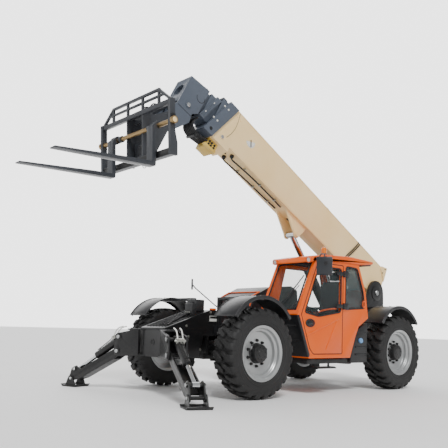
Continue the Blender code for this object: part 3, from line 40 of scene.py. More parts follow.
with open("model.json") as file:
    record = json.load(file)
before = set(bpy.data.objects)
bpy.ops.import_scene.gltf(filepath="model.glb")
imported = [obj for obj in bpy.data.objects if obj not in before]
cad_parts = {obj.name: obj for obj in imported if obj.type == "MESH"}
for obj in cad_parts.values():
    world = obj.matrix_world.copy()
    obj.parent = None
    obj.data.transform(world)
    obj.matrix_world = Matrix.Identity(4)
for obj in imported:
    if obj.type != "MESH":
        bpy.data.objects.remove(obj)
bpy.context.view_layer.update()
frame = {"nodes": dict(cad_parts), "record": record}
RECORD = frame["record"]
JOINTS = {joint["name"]: joint for joint in RECORD["behaviour"]["joints"]}
BODY_OF = {node: body for body, nodes in RECORD["behaviour"]["bodies"].items() for node in nodes}
SLOT_OF = {part["node"]: part["material_slot"] for part in RECORD["subparts"]}


def frame_at(origin, pitch=0.0, yaw=0.0):
    """A frame at a point: turned about Z, then its nose raised by pitch (degrees)."""
    turn = Matrix.Rotation(math.radians(yaw), 4, "Z") @ Matrix.Rotation(-math.radians(pitch), 4, "Y")
    return Matrix.Translation(origin) @ turn


# Frames of the machine's moving parts. MACHINE has its origin on the ground under the front axle.
FRONT_AXLE = Vector(JOINTS["front_left_roll"]["pos_m"])
REAR_AXLE = Vector(JOINTS["rear_left_roll"]["pos_m"])
AXLE_X = FRONT_AXLE.x
WHEELBASE = FRONT_AXLE.x - REAR_AXLE.x
TYRE_RADIUS = FRONT_AXLE.z
MACHINE = Matrix.Translation((AXLE_X, 0.0, 0.0))
BOOM_PITCH = 28.4         # the boom's rise at rest, in degrees
BOOM = frame_at(JOINTS["boom_lift"]["pos_m"], pitch=BOOM_PITCH)
CARRIAGE = frame_at(JOINTS["carriage_tilt"]["pos_m"], pitch=-2.5)
SIDES = {"left": 1, "right": -1}
VIEW_YAW = -130.45        # the camera's heading, in degrees
OUTRIGGER_YAW = 69.0      # an outrigger's turn away from the nose, in degrees
OUTRIGGER_DROP = 28.0     # the slope of its arm at rest, in degrees
CAB_SIDE = 1.150          # cab's outer face
CAB_INNER_SIDE = 0.380    # cab's face towards the boom
BOOM_SIDE = 0.171         # outer boom section's face


# ---------------------------------------------------------------- settings
def linear(hex_colour):
    """An sRGB hex colour as linear RGBA."""
    channels = [int(hex_colour[i:i + 2], 16) / 255 for i in (1, 3, 5)]
    return [c / 12.92 if c <= 0.04045 else ((c + 0.055) / 1.055) ** 2.4 for c in channels] + [1.0]


def colour(name, hex_colour, description):
    """A colour setting with its default given as sRGB hex."""
    return bpy.props.FloatVectorProperty(name=name, description=description, subtype="COLOR", size=4,
                                         min=0.0, max=1.0, default=linear(hex_colour))


class HandlerColours(bpy.types.PropertyGroup):
    """Colours of the machine's finishes."""
    cab: colour("Cab", "#E65A00", "Gloss enamel of the cab and door")
    boom: colour("Boom", "#FADCA4", "Enamel of the outer boom")
    steel: colour("Boom head", "#525A66", "Enamel of the boom's head and inner sections")
    # the carriage and forks wear the same slate enamel as the boom's head; this darker default is painted
    # shade
    forks: colour("Forks", "#2F3237", "Enamel of the carriage and forks")
    frame: colour("Frame", "#0F1012", "Powder coat of the frame and outriggers")
    rim: colour("Rims", "#B4B6B6", "Silver enamel of the rims")
    tyre: colour("Tyres", "#161617", "Rubber of the tyres")
    floor: colour("Floor", "#F4F4F4", "Studio floor")


class HandlerSizes(bpy.types.PropertyGroup):
    """Sizes of the details."""
    lug_count: bpy.props.IntProperty(name="Lugs", description="Tread lugs round each side of a tyre",
                                     default=24, min=8, max=40)
    lug_depth: bpy.props.FloatProperty(name="Lug depth", unit="LENGTH", default=0.030,
                                       description="Height of a tread lug over a radius of 0.595 m")
    seal: bpy.props.FloatProperty(name="Glass seal", description="Radius of the rubber round the glass",
                                  default=0.012, unit="LENGTH")
    bolt: bpy.props.FloatProperty(name="Bolt", description="Radius of a frame bolt's head",
                                  default=0.015, unit="LENGTH")
    hose: bpy.props.FloatProperty(name="Hose", description="Radius of a hydraulic hose",
                                  default=0.013, unit="LENGTH")


# ---------------------------------------------------------------- materials
COLOUR_MIX = {"data_type": "RGBA"}   # input 0 is the mix's factor, 6 and 7 its colours, output 2 the result
PATCH_MM = 600.0                  # patches of tone; noise of scale s varies over about 1000 / s mm
SPECKS = 38.0                     # scale of the dust specks, about 26 mm apart
DUST_FLOOR, DUST_TOP = 0.1, 1.3   # heights between which the dust thins, in metres
COAT_ROUGHNESS = 0.08
GLASS_IOR = 1.52
FINE_BANDS = 1000.0 / 6.28        # scale of a wave texture whose bands lie about 4 mm apart


def add_node(tree, kind, settings=None, **inputs):
    """Add a node. An input is named, or i and its number; its value is a number or a socket to link from."""
    node = tree.nodes.new(kind)
    for name, value in (settings or {}).items():
        setattr(node, name, value)
    for name, value in inputs.items():
        key = int(name[1:]) if name[1:].isdigit() else name.replace("_", " ")
        if isinstance(value, bpy.types.NodeSocket):
            tree.links.new(value, node.inputs[key])
        else:
            node.inputs[key].default_value = value
    return node


def new_material(name):
    """A node material and its tree, Principled shader and object coordinates."""
    material = bpy.data.materials.new(name)
    material.use_nodes = True
    tree = material.node_tree
    shader = tree.nodes["Principled BSDF"]
    place = add_node(tree, "ShaderNodeTexCoord").outputs["Object"]
    return material, tree, shader, place


def surface(name, base, second, dust, dust_amount, roughness, grain_mm, bump, coat=0.0, metallic=0.0,
            ior=1.5):
    """A worked surface: patchy colour, dust that thickens towards the ground, and a fine grain."""
    material, tree, shader, place = new_material(name)
    patches = add_node(tree, "ShaderNodeTexNoise", Vector=place, Scale=1000.0 / PATCH_MM, Detail=5.0)
    spread = add_node(tree, "ShaderNodeMapRange", Value=patches.outputs["Fac"], From_Min=0.35, From_Max=0.65)
    tone = add_node(tree, "ShaderNodeMix", COLOUR_MIX, i0=spread.outputs["Result"], i6=base, i7=second)
    height = add_node(tree, "ShaderNodeSeparateXYZ", Vector=place).outputs["Z"]
    low = add_node(tree, "ShaderNodeMapRange", Value=height, From_Min=DUST_FLOOR, From_Max=DUST_TOP,
                   To_Min=1.0, To_Max=0.15)
    specks = add_node(tree, "ShaderNodeTexNoise", Vector=place, Scale=SPECKS, Detail=8.0, Roughness=0.7)
    fine = add_node(tree, "ShaderNodeMapRange", Value=specks.outputs["Fac"], From_Min=0.40, From_Max=0.75)
    settled = add_node(tree, "ShaderNodeMath", {"operation": "MULTIPLY"}, i0=low.outputs["Result"],
                       i1=fine.outputs["Result"])
    amount = add_node(tree, "ShaderNodeMath", {"operation": "MULTIPLY"}, i0=settled.outputs[0],
                      i1=dust_amount)
    dusty = add_node(tree, "ShaderNodeMix", COLOUR_MIX, i0=amount.outputs[0], i6=tone.outputs[2], i7=dust)
    tree.links.new(dusty.outputs[2], shader.inputs["Base Color"])
    rough = add_node(tree, "ShaderNodeMapRange", Value=specks.outputs["Fac"], From_Min=0.3, From_Max=0.7,
                     To_Min=max(roughness - 0.06, 0.02), To_Max=min(roughness + 0.10, 1.0))
    tree.links.new(rough.outputs["Result"], shader.inputs["Roughness"])
    grain = add_node(tree, "ShaderNodeTexNoise", Vector=place, Scale=1000.0 / grain_mm, Detail=3.0)
    relief = add_node(tree, "ShaderNodeBump", Height=grain.outputs["Fac"], Strength=bump, Distance=0.002)
    tree.links.new(relief.outputs["Normal"], shader.inputs["Normal"])
    shader.inputs["Metallic"].default_value = metallic
    shader.inputs["Coat Weight"].default_value = coat
    shader.inputs["Coat Roughness"].default_value = COAT_ROUGHNESS
    shader.inputs["IOR"].default_value = ior
    return material


def glazing(name, tint, alpha):
    """Toughened glass: a flat sheet that shows its tint and a sharp reflection."""
    material, tree, shader, place = new_material(name)
    film = add_node(tree, "ShaderNodeTexNoise", Vector=place, Scale=3.0, Detail=4.0)
    haze = add_node(tree, "ShaderNodeMapRange", Value=film.outputs["Fac"], From_Min=0.3, From_Max=0.8,
                    To_Min=0.02, To_Max=0.09)
    tree.links.new(haze.outputs["Result"], shader.inputs["Roughness"])
    tinted = add_node(tree, "ShaderNodeMix", COLOUR_MIX, i0=film.outputs["Fac"], i6=tint,
                      i7=linear("#6F7F80"))
    tree.links.new(tinted.outputs[2], shader.inputs["Base Color"])
    shader.inputs["Alpha"].default_value = alpha
    shader.inputs["IOR"].default_value = GLASS_IOR
    return material


def turned_metal(name, base, roughness, width, bump):
    """Ground or turned steel, crossed by bands; a width of 1 puts them about 4 mm apart."""
    material, tree, shader, place = new_material(name)
    lines = add_node(tree, "ShaderNodeTexWave", {"wave_type": "BANDS", "bands_direction": "DIAGONAL"},
                     Vector=place, Scale=FINE_BANDS / width, Distortion=4.0, Detail=2.0)
    worn = [channel * 0.8 for channel in base[:3]] + [1.0]
    tone = add_node(tree, "ShaderNodeMix", COLOUR_MIX, i0=lines.outputs["Fac"], i6=base, i7=worn)
    tree.links.new(tone.outputs[2], shader.inputs["Base Color"])
    rough = add_node(tree, "ShaderNodeMapRange", Value=lines.outputs["Fac"], To_Min=roughness * 0.8,
                     To_Max=roughness * 1.3)
    tree.links.new(rough.outputs["Result"], shader.inputs["Roughness"])
    relief = add_node(tree, "ShaderNodeBump", Height=lines.outputs["Fac"], Strength=bump, Distance=0.001)
    tree.links.new(relief.outputs["Normal"], shader.inputs["Normal"])
    shader.inputs["Metallic"].default_value = 1.0
    return material


def make_materials(colours):
    """Every finish of the machine, by name."""
    dust = linear("#8C8272")
    made = {
        # stoved enamel over pressed steel: a wet gloss with a faint orange peel 2.5 mm across
        "cab_enamel": surface("stoved_cab_enamel", colours.cab, linear("#E86000"), dust, 0.02, 0.36, 2.5,
                              0.01, coat=0.08, ior=1.38),
        # enamel on rolled plate: softer gloss, a warmer tone in patches
        "boom_enamel": surface("boom_plate_enamel", colours.boom, linear("#F6D496"), dust, 0.03, 0.42, 3.0,
                               0.02, coat=0.1),
        # enamel on flame-cut plate: satin, slightly mottled
        "steel_enamel": surface("head_plate_enamel", colours.steel, linear("#4B535F"), dust, 0.04, 0.38, 2.5,
                                0.03, coat=0.15),
        # the same slate enamel again, made darker: painted shade on the carriage and forks
        "slate_enamel_painted_shade": surface("attachment_enamel_painted_shade", colours.forks, linear("#373A40"), dust, 0.05, 0.38, 2.5,
                               0.03, coat=0.15),
        # powder coat: satin black with a fine pebble and road dust low down
        "frame_coat": surface("frame_powder_coat", colours.frame, linear("#141517"), dust, 0.06, 0.36, 1.6,
                              0.05),
        # moulded polyethylene: dull sheen, a coarser pebble
        "moulded_black": surface("moulded_polyethylene", linear("#16171A"), linear("#1B1C1F"), dust, 0.05,
                                 0.36, 2.0, 0.05),
        # silver enamel on spun steel
        "rim_enamel": surface("rim_silver_enamel", colours.rim, linear("#A5A7A8"), dust, 0.08, 0.34, 2.0,
                              0.03, coat=0.2, metallic=0.6),
        # vulcanised rubber: matt, with dust in the grain
        "tyre_rubber": surface("vulcanised_rubber", colours.tyre, linear("#1D1D1E"), linear("#4A463F"), 0.18,
                               0.66, 1.2, 0.25),
        "hose_rubber": surface("braided_hose_cover", linear("#18181A"), linear("#222224"), dust, 0.08, 0.55,
                               1.0, 0.25),
        "seal_rubber": surface("extruded_seal", linear("#101113"), linear("#191A1C"), dust, 0.05, 0.6, 1.0,
                               0.1),
        # sand-cast iron: rough skin under black paint
        "cast_iron": surface("painted_casting", linear("#1E1F21"), linear("#2A2B2D"), dust, 0.2, 0.5, 5.0,
                             0.35),
        "engine_iron": surface("engine_casting", linear("#4F565E"), linear("#5C646D"), dust, 0.2, 0.5, 5.0,
                               0.35),
        "port_enamel": surface("port_block_enamel", linear("#D9B95C"), linear("#C9A54A"), dust, 0.1, 0.4, 2.5,
                               0.05),
        "zinc": surface("zinc_plate", linear("#B9BAB4"), linear("#A4A59D"), dust, 0.10, 0.34, 1.5, 0.05,
                        metallic=0.9),
        "bright_paint": surface("white_enamel", linear("#E9E9E4"), linear("#DCDCD6"), dust, 0.05, 0.35, 2.5,
                                0.02),
        "cap_plastic": surface("blue_cap_plastic", linear("#6FA3D8"), linear("#5B8FC6"), dust, 0.05, 0.35,
                               1.5, 0.05),
        "orange_plastic": surface("orange_plastic", linear("#E4571B"), linear("#EF6A2A"), dust, 0.05, 0.35,
                                  1.5, 0.03),
        "red_lens": surface("red_lens_plastic", linear("#A3150F"), linear("#8A100B"), dust, 0.03, 0.15, 4.0,
                            0.1, coat=0.8),
        "amber_lens": surface("amber_lens_plastic", linear("#FF9000"), linear("#F07C00"), dust, 0.02, 0.15,
                              6.0, 0.2, coat=0.8),
        "vinyl": surface("grained_vinyl", linear("#2A2D31"), linear("#33363B"), dust, 0.03, 0.55, 2.2, 0.35),
        "chrome": turned_metal("hard_chrome", linear("#DADCDD"), 0.10, 1.0, 0.01),
        "bright_steel": turned_metal("ground_pin_steel", linear("#C4C6C6"), 0.26, 1.0, 0.03),
        "shaft_steel": turned_metal("weathered_shaft_steel", linear("#B3976C"), 0.38, 1.5, 0.06),
        "mirror_glass": turned_metal("silvered_mirror", linear("#C8CED2"), 0.03, 4.0, 0.0),
        "glass": glazing("cab_glass", linear("#2C3436"), 0.13),
        # the cab glass made darker and denser for the rear and quarter windows: painted shade behind them
        "glass_painted_shade": glazing("cab_glass_painted_shade", linear("#15191A"), 0.52),
        "mirror_shell": surface("mirror_shell_plastic", linear("#23262B"), linear("#2A2D32"), dust, 0.03,
                                0.40, 2.0, 0.05),
    }
    made["amber_lens"].node_tree.nodes["Principled BSDF"].inputs["Transmission Weight"].default_value = 0.35
    return made


MATERIALS = {}
NODE_FINISH = {"orange_paint": "cab_enamel", "cream_paint": "boom_enamel", "slate_paint": "steel_enamel",
               "black_paint": "frame_coat", "rim_paint": "rim_enamel", "tyre_rubber": "tyre_rubber",
               "chromed_rod": "chrome", "window_glass": "glass", "shaft_steel": "shaft_steel",
               "beacon_plastic": "amber_lens", "vinyl": "vinyl", "cast_weight": "cast_iron",
               "engine_casting": "engine_iron",}


# ---------------------------------------------------------------- shaping
def deselect():
    """Leave object mode with nothing selected."""
    if bpy.context.object and bpy.context.object.mode != "OBJECT":
        bpy.ops.object.mode_set(mode="OBJECT")
    bpy.ops.object.select_all(action="DESELECT")


def activate(obj):
    """Select one object alone."""
    deselect()
    bpy.context.view_layer.objects.active = obj
    obj.select_set(True)


def apply_modifiers(obj):
    """Apply every modifier of an object."""
    activate(obj)
    for modifier in list(obj.modifiers):
        bpy.ops.object.modifier_apply(modifier=modifier.name)


def bevelled(obj, width, segments=2, angle=35.0):
    """Round an object's sharp edges."""
    bevel = obj.modifiers.new("round", "BEVEL")
    bevel.width = width
    bevel.segments = segments
    bevel.limit_method = "ANGLE"
    bevel.angle_limit = math.radians(angle)
    apply_modifiers(obj)
    return obj


def settle(obj, name, finish, body, place=MACHINE, smooth=28.0):
    """Name a finished shape, put it in its frame, give it its finish and let it ride on its body."""
    activate(obj)
    obj.name = name
    obj.data.name = name
    bpy.ops.object.transform_apply(location=True, rotation=True, scale=True)
    obj.data.transform(place)
    obj.data.materials.clear()
    obj.data.materials.append(MATERIALS[finish])
    bpy.ops.object.shade_smooth_by_angle(angle=math.radians(smooth))
    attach(obj, body)
    return obj


def block(low, high, bevel=0.004):
    """A block with rounded edges between two corners."""
    deselect()
    low, high = Vector(low), Vector(high)
    bpy.ops.mesh.primitive_cube_add(size=1.0, location=(low + high) / 2, scale=high - low)
    bpy.ops.object.transform_apply(location=True, rotation=True, scale=True)
    return bevelled(bpy.context.object, bevel)


def bar(start, end, radius, sides=24, bevel=0.002, end_radius=None):
    """A round bar with chamfered ends between two points."""
    deselect()
    start, end = Vector(start), Vector(end)
    turn = (end - start).to_track_quat("Z", "Y").to_euler()
    bpy.ops.mesh.primitive_cone_add(vertices=sides, radius1=radius, depth=(end - start).length,
                                    radius2=radius if end_radius is None else end_radius,
                                    location=(start + end) / 2, rotation=turn)
    bpy.ops.object.transform_apply(location=True, rotation=True, scale=True)
    return bevelled(bpy.context.object, bevel, angle=50.0)


def slab(outline, y_low, y_high, bevel=0.003):
    """A plate cut to an (x, z) outline between two Y planes."""
    deselect()
    mesh = bpy.data.meshes.new("slab")
    mesh.from_pydata([(x, y_low, z) for x, z in outline], [], [tuple(range(len(outline)))])
    obj = bpy.data.objects.new("slab", mesh)
    bpy.context.collection.objects.link(obj)
    activate(obj)
    bpy.ops.object.mode_set(mode="EDIT")
    bpy.ops.mesh.select_all(action="SELECT")
    bpy.ops.mesh.extrude_region_move(TRANSFORM_OT_translate={"value": (0.0, y_high - y_low, 0.0)})
    bpy.ops.mesh.select_all(action="SELECT")
    bpy.ops.mesh.normals_make_consistent(inside=False)
    bpy.ops.object.mode_set(mode="OBJECT")
    return bevelled(obj, bevel) if bevel else obj


def hose(points, radius, smooth=True, closed=False, sides=3):
    """A hose, tube or seal along a list of points."""
    deselect()
    curve = bpy.data.curves.new("hose", "CURVE")
    curve.dimensions = "3D"
    curve.bevel_depth = radius
    curve.bevel_resolution = sides
    curve.use_fill_caps = not closed
    curve.resolution_u = 5
    spline = curve.splines.new("NURBS" if smooth else "POLY")
    spline.points.add(len(points) - 1)
    for point, place in zip(spline.points, points):
        point.co = (*place, 1.0)
    spline.use_cyclic_u = closed
    if smooth:
        spline.order_u = 3
        spline.use_endpoint_u = not closed
    obj = bpy.data.objects.new("hose", curve)
    bpy.context.collection.objects.link(obj)
    activate(obj)
    bpy.ops.object.convert(target="MESH")
    obj = bpy.context.object
    bpy.ops.object.mode_set(mode="EDIT")
    bpy.ops.mesh.select_all(action="SELECT")
    bpy.ops.mesh.remove_doubles(threshold=0.0001)
    bpy.ops.mesh.normals_make_consistent(inside=False)
    bpy.ops.object.mode_set(mode="OBJECT")
    return obj


def ring(profile, centre, axis, steps=48, closed=True):
    """A turned ring: (radius, distance along the axis) points turned about an axis through centre."""
    deselect()
    mesh = bpy.data.meshes.new("ring")
    points = [(radius, 0.0, out) for radius, out in profile]
    edges = [(i, i + 1) for i in range(len(points) - 1)] + ([(len(points) - 1, 0)] if closed else [])
    mesh.from_pydata(points, edges, [])
    obj = bpy.data.objects.new("ring", mesh)
    bpy.context.collection.objects.link(obj)
    screw = obj.modifiers.new("turn", "SCREW")
    screw.steps = steps
    screw.render_steps = steps
    screw.use_merge_vertices = True
    screw.merge_threshold = 0.0001
    apply_modifiers(obj)
    turn = Vector(axis).to_track_quat("Z", "Y").to_matrix().to_4x4()
    obj.data.transform(Matrix.Translation(centre) @ turn)
    bpy.ops.object.mode_set(mode="EDIT")
    bpy.ops.mesh.select_all(action="SELECT")
    bpy.ops.mesh.remove_doubles(threshold=0.0001)
    bpy.ops.mesh.normals_make_consistent(inside=False)
    bpy.ops.object.mode_set(mode="OBJECT")
    return obj


def joined(objects):
    """Several shapes as one object."""
    activate(objects[0])
    for obj in objects:
        obj.select_set(True)
    bpy.ops.object.join()
    return bpy.context.object


def copies(obj, places):
    """One shape copied to each matrix, as one object."""
    made = []
    for place in places:
        copy = bpy.data.objects.new("copy", obj.data.copy())
        copy.data.transform(place)
        bpy.context.collection.objects.link(copy)
        made.append(copy)
    bpy.data.objects.remove(obj, do_unlink=True)
    return joined(made)


def bolts(points, axis, radius, height=None, washer=True):
    """Hexagon bolt heads standing on points, along an axis."""
    height = height or radius * 0.7
    head = bar((0, 0, radius * 0.15), (0, 0, height), radius, sides=6, bevel=radius * 0.08)
    shapes = [head]
    if washer:
        shapes.append(bar((0, 0, -0.002), (0, 0, radius * 0.2), radius * 1.35, sides=16, bevel=radius * 0.05))
    turn = Vector(axis).to_track_quat("Z", "Y").to_matrix().to_4x4()
    return copies(joined(shapes), [Matrix.Translation(point) @ turn for point in points])


def softened(node, width, finish, angle=35.0):
    """A merged copy of a CAD node with rounded edges, which stands for the node."""
    source = frame["nodes"][node]
    deselect()
    copy = bpy.data.objects.new(node + "_skin", source.data.copy())
    bpy.context.collection.objects.link(copy)
    activate(copy)
    bpy.ops.object.mode_set(mode="EDIT")
    bpy.ops.mesh.select_all(action="SELECT")
    bpy.ops.mesh.remove_doubles(threshold=0.0001)
    bpy.ops.mesh.dissolve_limited(angle_limit=math.radians(1.0))
    bpy.ops.object.mode_set(mode="OBJECT")
    bevelled(copy, width, angle=angle)
    settle(copy, node + "_skin", finish, BODY_OF[node], Matrix.Identity(4))
    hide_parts(node)
    return copy


# ---------------------------------------------------------------- wheels
CARCASS_DEPTH = [(0.382, 0.1572), (0.392, 0.170), (0.410, 0.1815), (0.440, 0.1885), (0.470, 0.1915),
                 (0.520, 0.1910), (0.556, 0.1870), (0.568, 0.1800), (0.578, 0.1680), (0.5830, 0.1480),
                 (0.5850, 0.0900), (0.5850, 0.0)]
RIM_PROFILE = [(0.3835, 0.1590), (0.3845, 0.1690), (0.3790, 0.1722), (0.3705, 0.1700), (0.3600, 0.1610),
               (0.3480, 0.1560), (0.3410, 0.1440), (0.3375, 0.1180), (0.3280, 0.1080), (0.3130, 0.1040),
               (0.3060, 0.0960), (0.3015, 0.0640), (0.2930, 0.0520), (0.2760, 0.0460), (0.2500, 0.0450),
               (0.2300, 0.0410), (0.1300, 0.0400), (0.1300, 0.0180), (0.2800, 0.0160), (0.3050, 0.0020),
               (0.3200, -0.0300), (0.3330, -0.0600), (0.3400, -0.1500), (0.3640, -0.1690), (0.3845, -0.1700),
               (0.3845, -0.1590), (0.3556, -0.1560), (0.3556, 0.1560)]


LUG_DEPTH = 0.030         # the depth setting at which a lug has the radii below
LUG_FOOT = 0.595          # the radius about which the setting raises or lowers a lug's top


def lug(bm, centre, side, mirror, start, depth):
    """One tread lug: from the tyre's middle across the shoulder and down the side wall."""
    top = TYRE_RADIUS - 0.001
    stations = [  # distance from the middle, angle ahead, top radius, base radius, half angle
        (0.004, 0.000, top, 0.576, 0.044), (0.048, 0.022, top, 0.576, 0.052),
        (0.070, 0.062, top, 0.576, 0.060), (0.105, 0.094, top - 0.002, 0.576, 0.066),
        (0.140, 0.102, top - 0.006, 0.574, 0.072), (0.166, 0.104, top - 0.014, 0.566, 0.076),
        (0.183, 0.105, top - 0.036, 0.555, 0.076), (0.1925, 0.106, top - 0.066, 0.545, 0.070),
        (0.1922, 0.106, top - 0.094, 0.520, 0.056)]
    scale = depth / LUG_DEPTH
    rings = []
    for out, ahead, high, low, half in stations:
        y = side * mirror * out
        high = LUG_FOOT + (high - LUG_FOOT) * scale
        corners = []
        for angle, radius in ((ahead - half - 0.008, low), (ahead - half, high), (ahead + half, high),
                              (ahead + half + 0.008, low)):
            a = start + angle * mirror
            corners.append(bm.verts.new((centre[0] + radius * math.sin(a), centre[1] + y,
                                         centre[2] + radius * math.cos(a))))
        rings.append(corners)
    for first, second in zip(rings, rings[1:]):
        for j in range(4):
            bm.faces.new((first[j], first[(j + 1) % 4], second[(j + 1) % 4], second[j]))
    bm.faces.new(rings[0])
    bm.faces.new(rings[-1])


def build_tyre(corner, side, sizes):
    """A tyre with its carcass and two rows of lugs."""
    centre = Vector(JOINTS[corner + "_roll"]["pos_m"])
    profile = CARCASS_DEPTH + [(radius, -out) for radius, out in reversed(CARCASS_DEPTH[:-1])]
    carcass = ring(profile, centre, (0, side, 0), steps=96)
    bm = bmesh.new()
    pitch = 2 * math.pi / sizes.lug_count
    for i in range(sizes.lug_count):
        for mirror, offset in ((1, 0.0), (-1, pitch / 2)):
            lug(bm, centre, side, mirror, i * pitch + offset, sizes.lug_depth)
    bmesh.ops.recalc_face_normals(bm, faces=bm.faces)
    mesh = bpy.data.meshes.new("lugs")
    bm.to_mesh(mesh)
    bm.free()
    lugs = bpy.data.objects.new("lugs", mesh)
    bpy.context.collection.objects.link(lugs)
    bevelled(lugs, 0.004, segments=1, angle=40.0)
    beads = [ring([(0.432, 0.1870), (0.438, 0.1925), (0.446, 0.1925), (0.452, 0.1880)], centre, (0, side, 0),
                  72), ring([(0.500, 0.1900), (0.504, 0.1935), (0.509, 0.1935), (0.513, 0.1900)], centre,
                            (0, side, 0), 72)]
    tyre = settle(joined([carcass, lugs] + beads), corner + "_tread_tyre", "tyre_rubber", corner + "_wheel",
                  Matrix.Identity(4), smooth=40.0)
    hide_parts(corner + "_tyre")


def build_rim(corner, side):
    """The stepped rim, its planetary hub, studs and valve."""
    centre = Vector(JOINTS[corner + "_roll"]["pos_m"])
    axis = (0, side, 0)
    body = corner + "_wheel"
    rim = settle(ring(RIM_PROFILE, centre, axis, steps=72), corner + "_spun_rim", "rim_enamel", body,
                 Matrix.Identity(4))
    hub = ring([(0.0, 0.020), (0.140, 0.020), (0.142, 0.050), (0.132, 0.060), (0.128, 0.118), (0.122, 0.130),
                (0.108, 0.136), (0.050, 0.137), (0.046, 0.142), (0.0, 0.143)], centre, axis, steps=48,
               closed=False)
    spins = [2 * math.pi * i / 10 for i in range(10)]
    studs = [bolts([centre + Vector((0.176 * math.sin(a), side * 0.041, 0.176 * math.cos(a))) for a in spins],
                   axis, 0.017, height=0.030)]
    spins = [2 * math.pi * i / 8 + 0.2 for i in range(8)]
    studs.append(bolts([centre + Vector((0.086 * math.sin(a), side * 0.1365, 0.086 * math.cos(a)))
                        for a in spins], axis, 0.009, height=0.008, washer=False))
    hub = settle(joined([hub] + studs), corner + "_hub_and_studs", "frame_coat", body, Matrix.Identity(4))
    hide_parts(corner + "_rim")
    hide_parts(corner + "_rim")
    start = centre + Vector((0.318 * math.sin(2.4), side * 0.105, 0.318 * math.cos(2.4)))
    settle(bar(start, start + Vector((0.0, side * 0.03, 0.0)), 0.006, sides=10), corner + "_valve", "zinc",
           body, Matrix.Identity(4))


class HANDLER_OT_wheels(bpy.types.Operator):
    """Add the lugged tyres and the stepped rims"""
    bl_idname = "handler.wheels"
    bl_label = "Wheels"

    def execute(self, context):
        sizes = context.scene.handler_sizes
        for end in ("front", "rear"):
            for label, side in SIDES.items():
                corner = end + "_" + label
                build_tyre(corner, side, sizes)
                build_rim(corner, side)
        return {"FINISHED"}


